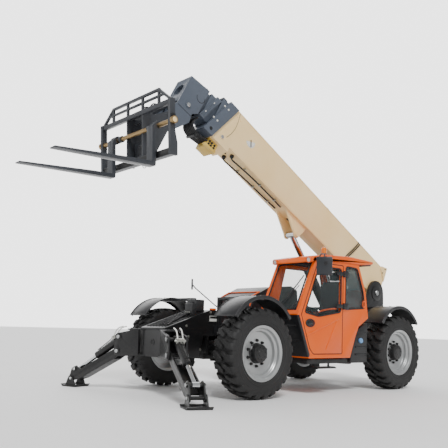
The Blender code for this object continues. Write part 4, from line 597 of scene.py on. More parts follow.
# ---------------------------------------------------------------- chassis
class HANDLER_OT_chassis(bpy.types.Operator):
    """Add the frame's bolts, plates, valve blocks, lamps and steps"""
    bl_idname = "handler.chassis"
    bl_label = "Chassis"

    def execute(self, context):
        radius = context.scene.handler_sizes.bolt
        softened("main_frame", 0.004, "frame_coat")
        softened("counterweight", 0.012, "cast_iron")
        side_bolts = [(0.596, 0.97), (0.554, 0.82), (0.333, 0.634), (0.151, 1.175), (-0.198, 1.175),
                      (0.80, 0.90), (0.62, 0.60)]
        for label, side in SIDES.items():
            points = [(x, side * 0.283, z) for x, z in side_bolts]
            settle(bolts(points, (0, side, 0), radius), label + "_frame_bolts", "zinc", "machine")
        self.nose()
        self.valves()
        self.tail()
        return {"FINISHED"}

    def nose(self):
        """The nose plate's ribs, towing hole, deck slats and blank plate."""
        ribs = [block((0.976, y - 0.014, 0.68), (0.990, y + 0.014, 0.925), 0.004) for y in (-0.215, 0.235)]
        ribs.append(block((0.974, -0.262, 0.905), (0.992, 0.262, 0.932), 0.004))
        settle(joined(ribs), "nose_ribs", "frame_coat", "machine")
        hole = ring([(0.030, 0.0), (0.046, 0.0), (0.046, 0.006), (0.030, 0.006)], (0.980, 0.006, 0.729),
                    (1, 0, 0))
        settle(hole, "tow_hole_ring", "frame_coat", "machine")
        disc = bar((0.979, 0.006, 0.729), (0.982, 0.006, 0.729), 0.031, bevel=0.0005)
        settle(disc, "tow_hole_shadow", "seal_rubber", "machine")
        slope = frame_at(Vector((0.98, 0.0, 0.93)) + Vector((AXLE_X, 0, 0)), pitch=180 - 18.65)
        slats = [block((0.06, y - 0.006, -0.012), (0.80, y + 0.006, 0.004), 0.002)
                 for y in (-0.21, -0.14, -0.07, 0.0, 0.07, 0.14, 0.21)]
        settle(joined(slats), "deck_slats", "frame_coat", "machine", slope)
        label = block((-0.06, 0.282, 1.045), (0.17, 0.286, 1.125), 0.001)
        settle(label, "blank_plate", "bright_paint", "machine")
        stripe = block((0.03, 0.2855, 1.085), (0.165, 0.2868, 1.120), 0.0005)
        settle(stripe, "blank_plate_band", "frame_coat", "machine")
        cap = block((0.05, 0.235, 1.208), (0.14, 0.290, 1.240), 0.008)
        settle(cap, "orange_frame_cap", "orange_plastic", "machine")

    def valves(self):
        """Valve blocks and hoses on the sloping deck."""
        blocks = [block((0.17, -0.06, 1.19), (0.33, 0.16, 1.36), 0.010),
                  block((0.30, -0.02, 1.12), (0.395, 0.15, 1.30), 0.010),
                  block((0.10, -0.19, 1.20), (0.24, -0.08, 1.31), 0.008),
                  bar((0.25, 0.02, 1.35), (0.25, 0.02, 1.385), 0.030),
                  bar((0.345, 0.07, 1.29), (0.345, 0.07, 1.32), 0.026)]
        settle(joined(blocks), "deck_valve_blocks", "cast_iron", "machine")
        lines = [hose([(0.395, y, 1.165), (0.47, y, 1.140), (0.60, y + 0.02, 1.076), (0.75, y + 0.03, 1.026),
                       (0.88, y * 2.2, 0.978)], 0.011) for y in (0.02, 0.06, 0.10)]
        settle(joined(lines), "deck_hoses", "hose_rubber", "machine")
        nuts = bolts([(0.392, y, 1.165) for y in (0.02, 0.06, 0.10)], (1, 0, 0), 0.015, height=0.02)
        settle(nuts, "deck_hose_nuts", "zinc", "machine")

    def tail(self):
        """Lamps and tow jaw at the rear, and steps under the cab."""
        x = -4.451
        for label, side in SIDES.items():
            case = block((x - 0.035, side * 0.56 - 0.09, 0.80), (x + 0.005, side * 0.56 + 0.09, 0.90), 0.008)
            settle(case, label + "_lamp_case", "moulded_black", "machine")
            lens = block((x - 0.045, side * 0.56 - 0.08, 0.81), (x - 0.030, side * 0.56 + 0.01, 0.89), 0.006)
            settle(lens, label + "_tail_lens", "red_lens", "machine")
            turn = block((x - 0.045, side * 0.56 + 0.02, 0.81), (x - 0.030, side * 0.56 + 0.08, 0.89), 0.006)
            settle(turn, label + "_turn_lens", "amber_lens", "machine")
        jaw = [block((x - 0.10, -0.07, 0.56), (x + 0.01, 0.07, 0.585), 0.005),
               block((x - 0.10, -0.07, 0.66), (x + 0.01, 0.07, 0.685), 0.005),
               bar((x - 0.07, 0.0, 0.54), (x - 0.07, 0.0, 0.72), 0.016)]
        settle(joined(jaw), "tow_jaw", "frame_coat", "machine")
        points = [(x, y, z) for y in (-0.68, -0.28, 0.28, 0.68) for z in (0.55, 0.74)]
        settle(bolts(points, (-1, 0, 0), 0.022), "weight_bolts", "zinc", "machine")
        step = [block((-1.62, 1.05, 0.392), (-1.16, 1.20, 0.412), 0.004)]
        step += [block((x0 - 0.012, 1.05, 0.40), (x0 + 0.012, 1.075, 0.53), 0.003) for x0 in (-1.60, -1.18)]
        step += [block((-1.61, y - 0.006, 0.410), (-1.17, y + 0.006, 0.420), 0.002)
                 for y in (1.09, 1.12, 1.15, 1.18)]
        settle(joined(step), "cab_step", "frame_coat", "machine")


# ---------------------------------------------------------------- fenders
FENDER_RADIUS = 0.648     # middle of a mudguard's sheet
FENDER_MIDDLE = 0.758     # height of the arc's middle
FENDER_ENDS = (34.0, 146.0)       # where the arc ends, in degrees from straight ahead
FENDER_STEPS = 24


class HANDLER_OT_fenders(bpy.types.Operator):
    """Add rolled rims, ribs and bolts to the four mudguards"""
    bl_idname = "handler.fenders"
    bl_label = "Fenders"

    def execute(self, context):
        for end, x in (("front", 0.0), ("rear", -WHEELBASE)):
            for label, side in SIDES.items():
                node = end + "_" + label + "_fender"
                softened(node, 0.004, "moulded_black")
                rolls = [self.edge(x, 0.652, side * 1.219), self.edge(x, 0.650, side * 0.806)]
                ends = []
                for angle in FENDER_ENDS:
                    a = math.radians(angle)
                    px, pz = x + FENDER_RADIUS * math.cos(a), FENDER_MIDDLE + FENDER_RADIUS * math.sin(a)
                    ends.append(bar((px, side * 0.802, pz), (px, side * 1.222, pz), 0.010, sides=14))
                settle(joined(rolls + ends), node + "_rolled_edge", "moulded_black", "machine")
                heads = bolts([(x + dx, side * y, 1.4135) for dx in (-0.02, 0.02)
                               for y in (0.86, 1.02, 1.16)], (0, 0, 1), 0.009)
                settle(heads, node + "_bolts", "zinc", "machine")
        return {"FINISHED"}

    def edge(self, x, radius, y):
        """A rolled edge along a mudguard's arc."""
        first, last = FENDER_ENDS
        angles = [math.radians(first + (last - first) * i / FENDER_STEPS) for i in range(FENDER_STEPS + 1)]
        points = [(x + radius * math.cos(a), y, FENDER_MIDDLE + radius * math.sin(a)) for a in angles]
        return hose(points, 0.009, smooth=False)


# ---------------------------------------------------------------- cab
DOOR_WINDOW = [(-1.775, 1.254), (-1.24, 1.172), (-0.925, 1.222), (-1.235, 1.925), (-1.775, 1.925)]
QUARTER_WINDOW = [(-1.895, 1.30), (-2.405, 1.34), (-2.355, 1.60), (-2.19, 1.965), (-1.895, 1.975)]
RIGHT_WINDOW = [(-1.10, 1.27), (-2.36, 1.27), (-2.19, 1.94), (-1.30, 1.94)]
DOOR_EDGE = [(-1.824, 0.608), (-1.135, 0.608), (-1.050, 0.684), (-0.940, 0.952), (-0.848, 1.19),
             (-1.199, 1.982), (-1.824, 1.982)]
HINGE_X, HINGE_Y = -1.830, 1.172      # the door's hinge line
FRONT_WALL = ((-0.76, 1.19), (-1.15, 2.03))
REAR_WALL = ((-2.23, 2.03), (-2.42, 1.60))


def rounded(outline, radius, steps=4):
    """An outline with its corners rounded, as points."""
    points = []
    count = len(outline)
    for i, here in enumerate(outline):
        here = Vector(here)
        before, after = Vector(outline[i - 1]), Vector(outline[(i + 1) % count])
        reach = min(radius, (before - here).length * 0.4, (after - here).length * 0.4)
        start = here + (before - here).normalized() * reach
        end = here + (after - here).normalized() * reach
        for step in range(steps + 1):
            t = step / steps
            points.append(tuple(start * (1 - t) ** 2 + here * 2 * t * (1 - t) + end * t ** 2))
    return points


def seal(outline, y, radius, corner=0.05):
    """A rubber seal round a flat window."""
    return hose([(x, y, z) for x, z in rounded(outline, corner)], radius, smooth=False, closed=True)


def wall_seal(wall, first, last, right, left, radius):
    """A rubber seal round a window in a slanted wall."""
    start, end = Vector(wall[0]), Vector(wall[1])
    low, high = start + (end - start) * first, start + (end - start) * last
    flat = [(right, 0.0), (left, 0.0), (left, 1.0), (right, 1.0)]
    outline = []
    for y, t in rounded(flat, 0.07):
        spot = low + (high - low) * t
        outline.append((spot.x, y, spot.y))
    return hose(outline, radius, smooth=False, closed=True)


class HANDLER_OT_cab(bpy.types.Operator):
    """Add the cab's seals, door pressings, handle, hinges, lamps, wipers and seat"""
    bl_idname = "handler.cab"
    bl_label = "Cab"

    def execute(self, context):
        radius = context.scene.handler_sizes.seal
        softened("cab_body", 0.006, "cab_enamel")
        softened("cab_roof", 0.020, "cab_enamel")
        softened("cab_door", 0.004, "cab_enamel")
        softened("fuel_tank", 0.012, "moulded_black")
        left, right = CAB_SIDE - 0.048 - 0.02, CAB_INNER_SIDE + 0.048 + 0.02
        rubber = [seal(QUARTER_WINDOW, CAB_SIDE - 0.003, radius),
                  seal(RIGHT_WINDOW, CAB_INNER_SIDE + 0.003, radius),
                  wall_seal(FRONT_WALL, 0.09, 0.93, right, left, radius),
                  wall_seal(REAR_WALL, 0.15, 0.87, right + 0.03, left - 0.03, radius)]
        settle(joined(rubber), "cab_glass_seals", "seal_rubber", "machine")
        settle(seal(DOOR_WINDOW, CAB_SIDE - 0.001, radius), "door_glass_seal", "seal_rubber", "door")
        shut = seal(DOOR_EDGE, CAB_SIDE - 0.004, 0.008, corner=0.03)
        settle(shut, "door_shut_seal", "seal_rubber", "door")
        self.door()
        self.roof()
        self.outside()
        self.inside()
        return {"FINISHED"}

    def door(self):
        """The door's pressings, handle recess and hinge straps."""
        press = [[(-0.962, 0.905), (-1.745, 1.165), (-1.735, 1.135), (-0.985, 0.865)],
                 [(-1.70, 1.115), (-1.455, 0.680), (-1.415, 0.680), (-1.665, 1.108)]]
        for number, outline in enumerate(press):
            settle(slab(outline, CAB_SIDE - 0.004, CAB_SIDE + 0.006, 0.004),
                   "door_pressing_%d" % (number + 1), "cab_enamel", "door")
        oval = [(-1.046 + 0.094 * math.cos(a), 1.068 + 0.052 * math.sin(a))
                for a in [2 * math.pi * i / 28 for i in range(28)]]
        bowl = [(-1.046 + 0.078 * math.cos(a), 1.068 + 0.040 * math.sin(a))
                for a in [2 * math.pi * i / 28 for i in range(28)]]
        frame_piece = hose([(x, CAB_SIDE + 0.004, z) for x, z in oval], 0.010, smooth=False, closed=True)
        dish = slab(bowl, CAB_SIDE - 0.002, CAB_SIDE + 0.004, 0.002)
        lever = block((-1.095, CAB_SIDE + 0.002, 1.055), (-0.995, CAB_SIDE + 0.016, 1.083), 0.006)
        settle(joined([frame_piece, dish, lever]), "door_handle", "moulded_black", "door")
        back, front = CAB_SIDE - 0.001, CAB_SIDE + 0.026
        for number, z in enumerate((1.345, 1.850)):
            strap = [block((-1.822, back, z - 0.030), (-1.640, front, z + 0.030), 0.005),
                     bar((HINGE_X, HINGE_Y, z - 0.021), (HINGE_X, HINGE_Y, z + 0.021), 0.018, bevel=0.002)]
            strap.append(bolts([(x, CAB_SIDE + 0.025, z) for x in (-1.675, -1.735)], (0, 1, 0), 0.010))
            settle(joined(strap), "door_hinge_%d" % (number + 1), "moulded_black", "door")
            lugs = [block((-1.945, back, z - 0.050), (-1.850, front, z + 0.050), 0.005),
                    block((-1.852, back, z + 0.0235), (-1.824, front, z + 0.050), 0.002),
                    block((-1.852, back, z - 0.050), (-1.824, front, z - 0.0235), 0.002)]
            for low, high in ((z + 0.024, z + 0.048), (z - 0.048, z - 0.024)):
                lugs.append(bar((HINGE_X, HINGE_Y, low), (HINGE_X, HINGE_Y, high), 0.0175, bevel=0.002))
            settle(joined(lugs), "pillar_hinge_%d" % (number + 1), "moulded_black", "machine")
        rail = hose([(-1.74, CAB_SIDE - 0.06, 1.30), (-1.72, CAB_SIDE - 0.10, 1.31),
                     (-1.35, CAB_SIDE - 0.10, 1.25), (-1.33, CAB_SIDE - 0.06, 1.24)], 0.013)
        settle(rail, "door_pull", "orange_plastic", "door")

    def roof(self):
        """Roof lamps, the dark overhang and the beacon's foot."""
        for number, y in enumerate((0.43, 1.11)):
            case = ring([(0.0, -0.03), (0.040, -0.03), (0.046, 0.0), (0.046, 0.020), (0.040, 0.026),
                         (0.036, 0.016)], (-1.045, y, 2.012), (0.96, 0.0, -0.25), steps=32, closed=False)
            settle(case, "roof_lamp_%d" % (number + 1), "cab_enamel", "machine")
            lens = ring([(0.0, 0.020), (0.020, 0.019), (0.037, 0.012), (0.037, 0.008), (0.0, 0.006)],
                        (-1.045, y, 2.012), (0.96, 0.0, -0.25), steps=32)
            settle(lens, "roof_lamp_lens_%d" % (number + 1), "bright_paint", "machine")
        # a dark sheet painted as the shade under the roof's rear overhang
        overhang = slab([(-2.32, 2.052), (-2.60, 2.072), (-2.585, 2.040), (-2.34, 2.012)], 0.40, 1.13, 0.006)
        settle(overhang, "roof_overhang_painted_shade", "moulded_black", "machine")
        foot = ring([(0.0, -0.01), (0.055, -0.01), (0.055, 0.012), (0.048, 0.034), (0.0, 0.034)],
                    (-1.50, 1.02, 2.118), (0, 0, 1), steps=32)
        settle(foot, "beacon_foot", "moulded_black", "machine")
        dome = ring([(0.0, 0.030), (0.041, 0.030), (0.041, 0.110), (0.036, 0.126), (0.020, 0.134),
                     (0.0, 0.136)], (-1.50, 1.02, 2.118), (0, 0, 1), steps=32, closed=False)
        ribs = [bar((-1.50 + 0.041 * math.cos(a), 1.02 + 0.041 * math.sin(a), 2.150),
                    (-1.50 + 0.041 * math.cos(a), 1.02 + 0.041 * math.sin(a), 2.226), 0.003, sides=8,
                    bevel=0.0005) for a in [2 * math.pi * i / 16 for i in range(16)]]
        dome = settle(joined([dome] + ribs), "beacon_dome", "amber_lens", "machine")
        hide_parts("beacon")

    def outside(self):
        """Wipers, the quarter window's latch, the corner panel, the mirror's back and the tank's cap."""
        wipers = [hose([(-0.765, 0.67, 1.215), (-0.945, 0.960, 1.629)], 0.008, smooth=False),
                  hose([(-0.775, 0.73, 1.220), (-0.950, 1.010, 1.625)], 0.006, smooth=False),
                  hose([(-0.880, 0.88, 1.480), (-1.015, 1.045, 1.780)], 0.009, smooth=False),
                  bar((-0.755, 0.67, 1.215), (-0.790, 0.67, 1.205), 0.018)]
        settle(joined(wipers), "front_wipers", "moulded_black", "machine")
        latch = hose([(-2.395, CAB_SIDE + 0.008, 1.400), (-2.382, CAB_SIDE + 0.010, 1.450),
                      (-2.345, CAB_SIDE + 0.010, 1.452), (-2.335, CAB_SIDE + 0.010, 1.40),
                      (-2.345, CAB_SIDE + 0.010, 1.350), (-2.385, CAB_SIDE + 0.010, 1.352)], 0.009,
                     closed=True)
        settle(latch, "quarter_latch", "orange_plastic", "machine")
        panel = slab([(-0.745, 1.175), (-0.775, 1.175), (-1.040, 0.565), (-1.012, 0.565)], 0.385, 1.154,
                     0.004)
        strip = slab([(-0.770, 1.178), (-0.798, 1.178), (-0.898, 0.95), (-1.008, 0.69), (-1.050, 0.60),
                      (-1.030, 0.566)], CAB_SIDE - 0.002, CAB_SIDE + 0.006, 0.002)
        ribs = [block((-0.845 - 0.09 * i, 0.50, 1.02 - 0.21 * i - 0.012),
                      (-0.800 - 0.09 * i, 1.09, 1.02 - 0.21 * i + 0.012), 0.004) for i in range(2)]
        settle(joined([panel, strip] + ribs), "front_corner_panel", "moulded_black", "machine")
        softened("cab_mirror", 0.006, "mirror_shell")
        ball = [bar((-1.052, 1.422, 1.94), (-1.030, 1.434, 1.94), 0.030),
                bar((-1.058, 1.420, 1.94), (-1.058, 1.420, 2.04), 0.014)]
        settle(joined(ball), "mirror_ball_joint", "moulded_black", "machine")
        glass = slab([(-0.105, 1.785), (0.105, 1.785), (0.105, 2.015), (-0.105, 2.015)], -0.003, 0.003, 0.002)
        spot = frame_at(Vector((-1.043, 1.400, 0.0)) + Vector((AXLE_X, 0, 0)), yaw=119.7)
        glass.data.transform(Matrix.Translation((0, 0.0225, 0)))
        settle(glass, "mirror_face", "mirror_glass", "machine", spot)
        softened("front_mirror", 0.003, "moulded_black")
        cap = ring([(0.0, 0.0), (0.040, 0.0), (0.042, 0.020), (0.036, 0.034), (0.0, 0.036)],
                   (-2.33, 1.119, 0.815), (0, 1, 0), steps=28)
        settle(cap, "tank_cap", "cap_plastic", "machine")
        rungs = [block((-2.50, 1.110, z), (-2.20, 1.135, z + 0.025), 0.006) for z in (0.58, 0.70, 0.93)]
        settle(joined(rungs), "tank_ribs", "moulded_black", "machine")

    def inside(self):
        """The seat's cushions, arm rests, levers and the headliner."""
        y = (CAB_SIDE + CAB_INNER_SIDE) / 2
        pads = {"seat_cushion": ((-2.04, y - 0.23, 1.08), (-1.56, y + 0.23, 1.20)),
                "seat_back": ((-2.17, y - 0.21, 1.16), (-2.03, y + 0.21, 1.76)),
                "head_rest": ((-2.20, y - 0.12, 1.78), (-2.10, y + 0.12, 1.92))}
        for name, (low, high) in pads.items():
            pad = block(low, high, 0.03)
            crown = pad.modifiers.new("crown", "SUBSURF")
            crown.levels = 2
            crown.render_levels = 2
            apply_modifiers(pad)
            pad = settle(pad, name, "vinyl", "machine", smooth=180.0)
        rests = [block((-2.00, y + s * 0.27 - 0.03, 1.28), (-1.70, y + s * 0.27 + 0.03, 1.33), 0.015)
                 for s in (-1, 1)]
        rests += [bar((-1.74, y - 0.27, 1.33), (-1.72, y - 0.27, 1.43), 0.016),
                  block((-2.30, 0.46, 1.99), (-1.20, 1.07, 2.02), 0.006)]
        settle(joined(rests), "cab_arm_rests", "vinyl", "machine")


# ---------------------------------------------------------------- engine
class HANDLER_OT_engine(bpy.types.Operator):
    """Add the engine hood's grilles, latches, edge and exhaust"""
    bl_idname = "handler.engine"
    bl_label = "Engine hood"

    def execute(self, context):
        softened("engine_hood", 0.030, "moulded_black")
        softened("engine_housing", 0.010, "moulded_black")
        slats = [block((-2.35 + 0.075 * i, -1.158, 1.36), (-2.31 + 0.075 * i, -1.146, 1.58), 0.004)
                 for i in range(12)]
        slats.append(block((-2.38, -1.154, 1.34), (-1.46, -1.147, 1.35), 0.002))
        settle(joined(slats), "hood_grille", "moulded_black", "hood")
        vents = [block((-2.30, -1.158, 0.66 + 0.05 * i), (-1.50, -1.146, 0.685 + 0.05 * i), 0.005)
                 for i in range(9)]
        settle(joined(vents), "side_grille", "moulded_black", "machine")
        edge = hose([(-1.305, -1.10, 1.335), (-1.325, -1.12, 1.500), (-1.50, -1.12, 1.585),
                     (-1.50, -0.36, 1.585), (-1.325, -0.36, 1.500), (-1.305, -0.38, 1.335)], 0.014,
                    smooth=False)
        settle(edge, "hood_front_edge", "orange_plastic", "hood")
        latch = block((-1.60, -1.170, 1.315), (-1.50, -1.150, 1.350), 0.006)
        settle(latch, "hood_latch", "zinc", "hood")
        pipe = hose([(-2.56, -0.62, 0.70), (-2.56, -0.62, 0.90), (-2.56, -0.62, 1.12), (-2.62, -0.62, 1.21)],
                    0.036)
        shield = bar((-2.56, -0.62, 0.76), (-2.56, -0.62, 1.08), 0.058, sides=32, bevel=0.006)
        hold = block((-2.56, -0.65, 0.88), (-2.47, -0.59, 0.92), 0.004)
        settle(joined([pipe, shield, hold]), "exhaust_stack", "cast_iron", "machine")
        return {"FINISHED"}


# ---------------------------------------------------------------- boom
class HANDLER_OT_boom(bpy.types.Operator):
    """Add the boom's seams, bolts, pins, indicator, ports, hoses and lamp"""
    bl_idname = "handler.boom"
    bl_label = "Boom"

    def execute(self, context):
        sizes = context.scene.handler_sizes
        softened("boom_base", 0.005, "boom_enamel")
        softened("boom_middle", 0.004, "steel_enamel")
        softened("boom_inner_middle", 0.004, "steel_enamel")
        softened("boom_head", 0.004, "steel_enamel")
        self.outer()
        self.collars()
        self.head()
        self.ports(sizes)
        return {"FINISHED"}

    def outer(self):
        """Seams, pins and bolts on the outer section."""
        for label, side in SIDES.items():
            y = side * BOOM_SIDE
            seam = hose([(4.425, y, 0.585), (4.395, y, 0.45), (4.383, y, 0.319), (4.405, y, 0.18),
                         (4.461, y, 0.056)], 0.0035)
            settle(seam, label + "_boom_seam", "frame_coat", "boom", BOOM)
            lines = [hose([(0.25, y, 0.572), (4.36, y, 0.572)], 0.004, smooth=False),
                     hose([(0.25, y, -0.018), (4.30, y, -0.018)], 0.004, smooth=False)]
            settle(joined(lines), label + "_boom_welds", "boom_enamel", "boom", BOOM)
            settle(bolts([(4.458, y, 0.49), (4.36, y, 0.484), (4.535, y, 0.16)], (0, side, 0), 0.011),
                   label + "_pad_bolts", "boom_enamel", "boom", BOOM)
            pin = ring([(0.0, 0.020), (0.026, 0.020), (0.030, 0.016), (0.030, -0.004), (0.0, -0.004)],
                       (4.535, y, 0.0), (0, side, 0), steps=32)
            settle(pin, label + "_chain_pin", "chrome", "boom", BOOM)
            points = [(-0.06, y + side * 0.018, 0.50), (-0.10, y + side * 0.018, 0.61)]
            settle(bolts(points, (0, side, 0), 0.011), label + "_tail_bolts", "frame_coat", "boom", BOOM)
            boss = ring([(0.052, 0.0), (0.150, 0.0), (0.150, 0.012), (0.140, 0.016), (0.052, 0.016)],
                        (0.0, side * 0.248, 0.0), (0, side, 0), steps=48)
            settle(boss, label + "_pivot_boss", "frame_coat", "machine", BOOM)
            end = ring([(0.0, 0.026), (0.044, 0.026), (0.049, 0.020), (0.049, 0.0), (0.0, 0.0)],
                       (0.0, side * 0.250, 0.0), (0, side, 0), steps=32)
            settle(end, label + "_pivot_pin", "bright_steel", "machine", BOOM)
        dial = [(4.022 + 0.098 * math.cos(a), 0.345 + 0.098 * math.sin(a))
                for a in [math.pi + math.pi * i / 24 for i in range(25)]]
        tilt = Matrix.Translation((4.022, 0.0, 0.345)) @ Matrix.Rotation(math.radians(BOOM_PITCH), 4, "Y")
        face = slab([(x - 4.022, z - 0.345) for x, z in dial], BOOM_SIDE - 0.001, BOOM_SIDE + 0.003, 0.0)
        settle(face, "angle_dial", "bright_paint", "boom", BOOM @ tilt)
        ticks = []
        for i in range(9):
            a = math.pi + math.pi * (i + 0.5) / 9
            ticks.append(bar((0.078 * math.cos(a), BOOM_SIDE + 0.003, 0.078 * math.sin(a)),
                             (0.092 * math.cos(a), BOOM_SIDE + 0.003, 0.092 * math.sin(a)), 0.0018, 6,
                             0.0002))
        settle(joined(ticks), "angle_dial_ticks", "frame_coat", "boom", BOOM @ tilt)
        hand = block((-0.009, BOOM_SIDE + 0.004, -0.088), (0.009, BOOM_SIDE + 0.010, 0.028), 0.002)
        settle(hand, "angle_pointer", "frame_coat", "boom", BOOM @ tilt)
        lamp = [block((1.84, 0.06, 0.594), (1.90, 0.13, 0.640), 0.008),
                bar((1.90, 0.095, 0.62), (1.92, 0.095, 0.62), 0.022)]
        settle(joined(lamp), "boom_work_lamp", "moulded_black", "boom", BOOM)
        wire = hose([(1.84, 0.10, 0.606), (1.60, 0.125, 0.600), (1.00, 0.13, 0.600), (0.83, 0.14, 0.602)],
                    0.006)
        settle(wire, "boom_lamp_lead", "hose_rubber", "boom", BOOM)
        tubes = [hose([(0.80 + d, 0.16, 0.600), (0.81 + d, 0.184, 0.585), (0.90 + d, 0.186, 0.38),
                       (1.0 + d, 0.186, 0.19), (1.05 + d, 0.180, 0.06), (1.07 + d, 0.150, -0.05)], 0.010)
                 for d in (0.0, 0.045)]
        settle(joined(tubes), "boom_side_tubes", "hose_rubber", "boom", BOOM)

    def collars(self):
        """Bolts, wear strips and dark discs painted as the shade in the inspection holes on the sections'
        collars.
        """
        lean = 0.32 * 0.34        # how far a rib leans back over its height
        for label, side in SIDES.items():
            y = side * 0.200
            points = [(4.748, y, 0.43), (4.662, y, 0.43), (4.836, y, 0.13), (4.752, y, 0.13)]
            settle(bolts(points, (0, side, 0), 0.012), label + "_collar_bolts", "bright_paint",
                   "boom_middle_section", BOOM)
            # a flat dark disc painted as the shade inside an inspection hole
            hole = ring([(0.0, 0.001), (0.024, 0.001), (0.027, 0.004), (0.030, 0.0), (0.0, 0.0)],
                        (4.79, y, -0.055), (0, side, 0), steps=28)
            settle(hole, label + "_collar_hole_painted_shade", "seal_rubber", "boom_middle_section", BOOM)
            y = side * 0.165
            points = [(4.92, y, 0.345), (4.985, y, 0.125)]
            settle(bolts(points, (0, side, 0), 0.011), label + "_neck_bolts", "bright_paint",
                   "boom_inner_section", BOOM)
            strips = [slab([(4.955 - lean + near, 0.37), (4.955 - lean + far, 0.37), (4.955 + far, 0.03),
                            (4.955 + near, 0.03)], y - 0.001, y + side * 0.012, 0.002)
                      for near, far in ((0.014, 0.030), (0.070, 0.086))]
            settle(joined(strips), label + "_neck_ribs", "steel_enamel", "boom_inner_section", BOOM)
        pads = [block((4.700, -0.120, 0.575), (4.790, -0.030, 0.605), 0.004),
                block((4.700, 0.030, 0.575), (4.790, 0.120, 0.605), 0.004)]
        settle(joined(pads), "collar_top_pads", "seal_rubber", "boom_middle_section", BOOM)

    def head(self):
        """Pins, the boss's arc, the plate's seam and the roller on the boom's head."""
        body = "boom_tip_section"
        for label, side in SIDES.items():
            y = side * 0.170
            pin = ring([(0.0, 0.024), (0.026, 0.024), (0.032, 0.018), (0.032, 0.0), (0.0, 0.0)],
                       (5.285, y, -0.035), (0, side, 0), steps=32)
            settle(pin, label + "_head_pin", "chrome", body, BOOM)
            washer = ring([(0.034, 0.006), (0.050, 0.006), (0.052, 0.0), (0.034, 0.0)], (5.285, y, -0.035),
                          (0, side, 0), steps=32)
            settle(washer, label + "_head_pin_washer", "steel_enamel", body, BOOM)
            seams = [hose([(5.440, y, -0.150), (5.300, y, -0.148), (5.165, y, -0.146)], 0.004, smooth=False)]
            angles = [math.radians(60 + 200 * i / 14) for i in range(15)]
            seams.append(hose([(5.155 + 0.078 * math.cos(a + 1.6), y, 0.225 + 0.078 * math.sin(a + 1.6))
                               for a in angles], 0.004, smooth=False))
            settle(joined(seams), label + "_head_seams", "frame_coat", body, BOOM)
            pivot = ring([(0.0, 0.0), (0.052, 0.0), (0.052, 0.010), (0.046, 0.014), (0.0, 0.014)],
                         (5.45, side * 0.2155, -0.40), (0, side, 0), steps=32)
            settle(pivot, label + "_carriage_pin_cap", "bright_steel", body, BOOM)
        bore = ring([(0.096, -0.120), (0.100, -0.120), (0.100, -0.004), (0.104, 0.001), (0.110, 0.001),
                     (0.096, 0.0)], (5.455, 0.0, 0.165), (1, 0, 0), steps=48)
        settle(bore, "head_bore_lip", "steel_enamel", body, BOOM)
        roller = [bar((5.10, -0.075, 0.462), (5.10, 0.075, 0.462), 0.040, sides=32, bevel=0.006)]
        cheeks = [block((5.085, y - 0.008, 0.425), (5.145, y + 0.008, 0.490), 0.006) for y in (-0.090, 0.090)]
        settle(joined(roller + cheeks), "hose_roller", "moulded_black", body, BOOM)
        axle = bar((5.10, -0.112, 0.468), (5.10, 0.112, 0.468), 0.020, bevel=0.004)
        settle(axle, "hose_roller_axle", "chrome", body, BOOM)
        lines = [hose([(5.090, y, 0.500), (5.04, y, 0.492), (4.985, y, 0.484), (4.930, y, 0.466)], 0.010)
                 for y in (-0.03, 0.0, 0.03)]
        settle(joined(lines), "roller_hoses", "hose_rubber", body, BOOM)

    def ports(self, sizes):
        """The port block under the mouth, the hose bundle and the underside hoses."""
        parts = [block((4.50, -0.120, -0.292), (4.700, 0.120, -0.130), 0.006),
                 slab([(4.50, -0.292), (4.76, -0.305), (4.74, -0.255), (4.50, -0.250)], 0.105, 0.135, 0.003)]
        settle(joined(parts), "port_bracket", "port_enamel", "boom", BOOM)
        plugs = [bar((4.60 + dx, 0.118, z), (4.60 + dx, 0.140, z), 0.017, sides=20)
                 for dx in (-0.04, 0.02, 0.07) for z in (-0.185, -0.235)]
        settle(joined(plugs), "port_plugs", "frame_coat", "boom", BOOM)
        bundle = [hose([(4.70, y, -0.20), (4.80, y, -0.215), (4.93, y, -0.24), (5.04, y, -0.20),
                        (5.07, y, -0.10), (5.02, y, -0.02)], 0.014)
                  for y in (-0.105, -0.07, -0.035, 0.0, 0.035, 0.07, 0.105)]
        settle(joined(bundle), "hose_bundle", "hose_rubber", "boom_inner_section", BOOM)
        clamp = [block((4.89, -0.130, -0.262), (4.93, 0.130, -0.222), 0.006),
                 ring([(0.030, -0.010), (0.046, -0.010), (0.046, 0.010), (0.030, 0.010)],
                      (4.91, 0.13, -0.285), (0, 1, 0), steps=28)]
        settle(joined(clamp), "bundle_bracket", "frame_coat", "boom_inner_section", BOOM)
        for number, (x, y) in enumerate(((4.20, -0.075), (4.17, 0.085))):
            cup = ring([(0.018, 0.0), (0.034, 0.0), (0.034, 0.030), (0.028, 0.042), (0.018, 0.042)],
                       (x, y, -0.040), (0, 0, -1), steps=28)
            settle(cup, "hose_socket_%d" % (number + 1), "frame_coat", "boom", BOOM)
            route = [(x, y, -0.075), (x - 0.02, y, -0.105), (x - 0.10, y, -0.100), (3.7, y, -0.070),
                     (3.2, y, -0.062), (2.85, y * 0.8, -0.060)]
            settle(hose(route, sizes.hose), "under_hose_%d" % (number + 1), "hose_rubber", "boom", BOOM)
            clips = [block((cx - 0.012, y - 0.025, -0.082), (cx + 0.012, y + 0.025, -0.040), 0.004)
                     for cx in (3.85, 3.45, 3.05)]
            settle(joined(clips), "under_hose_clips_%d" % (number + 1), "zinc", "boom", BOOM)
        # a thin dark plate painted as the shade inside the slot under the boom
        slot_shade_plate = block((4.235, -0.012, -0.046), (4.30, 0.012, -0.039), 0.003)
        settle(slot_shade_plate, "underside_slot_painted_shade", "seal_rubber", "boom", BOOM)


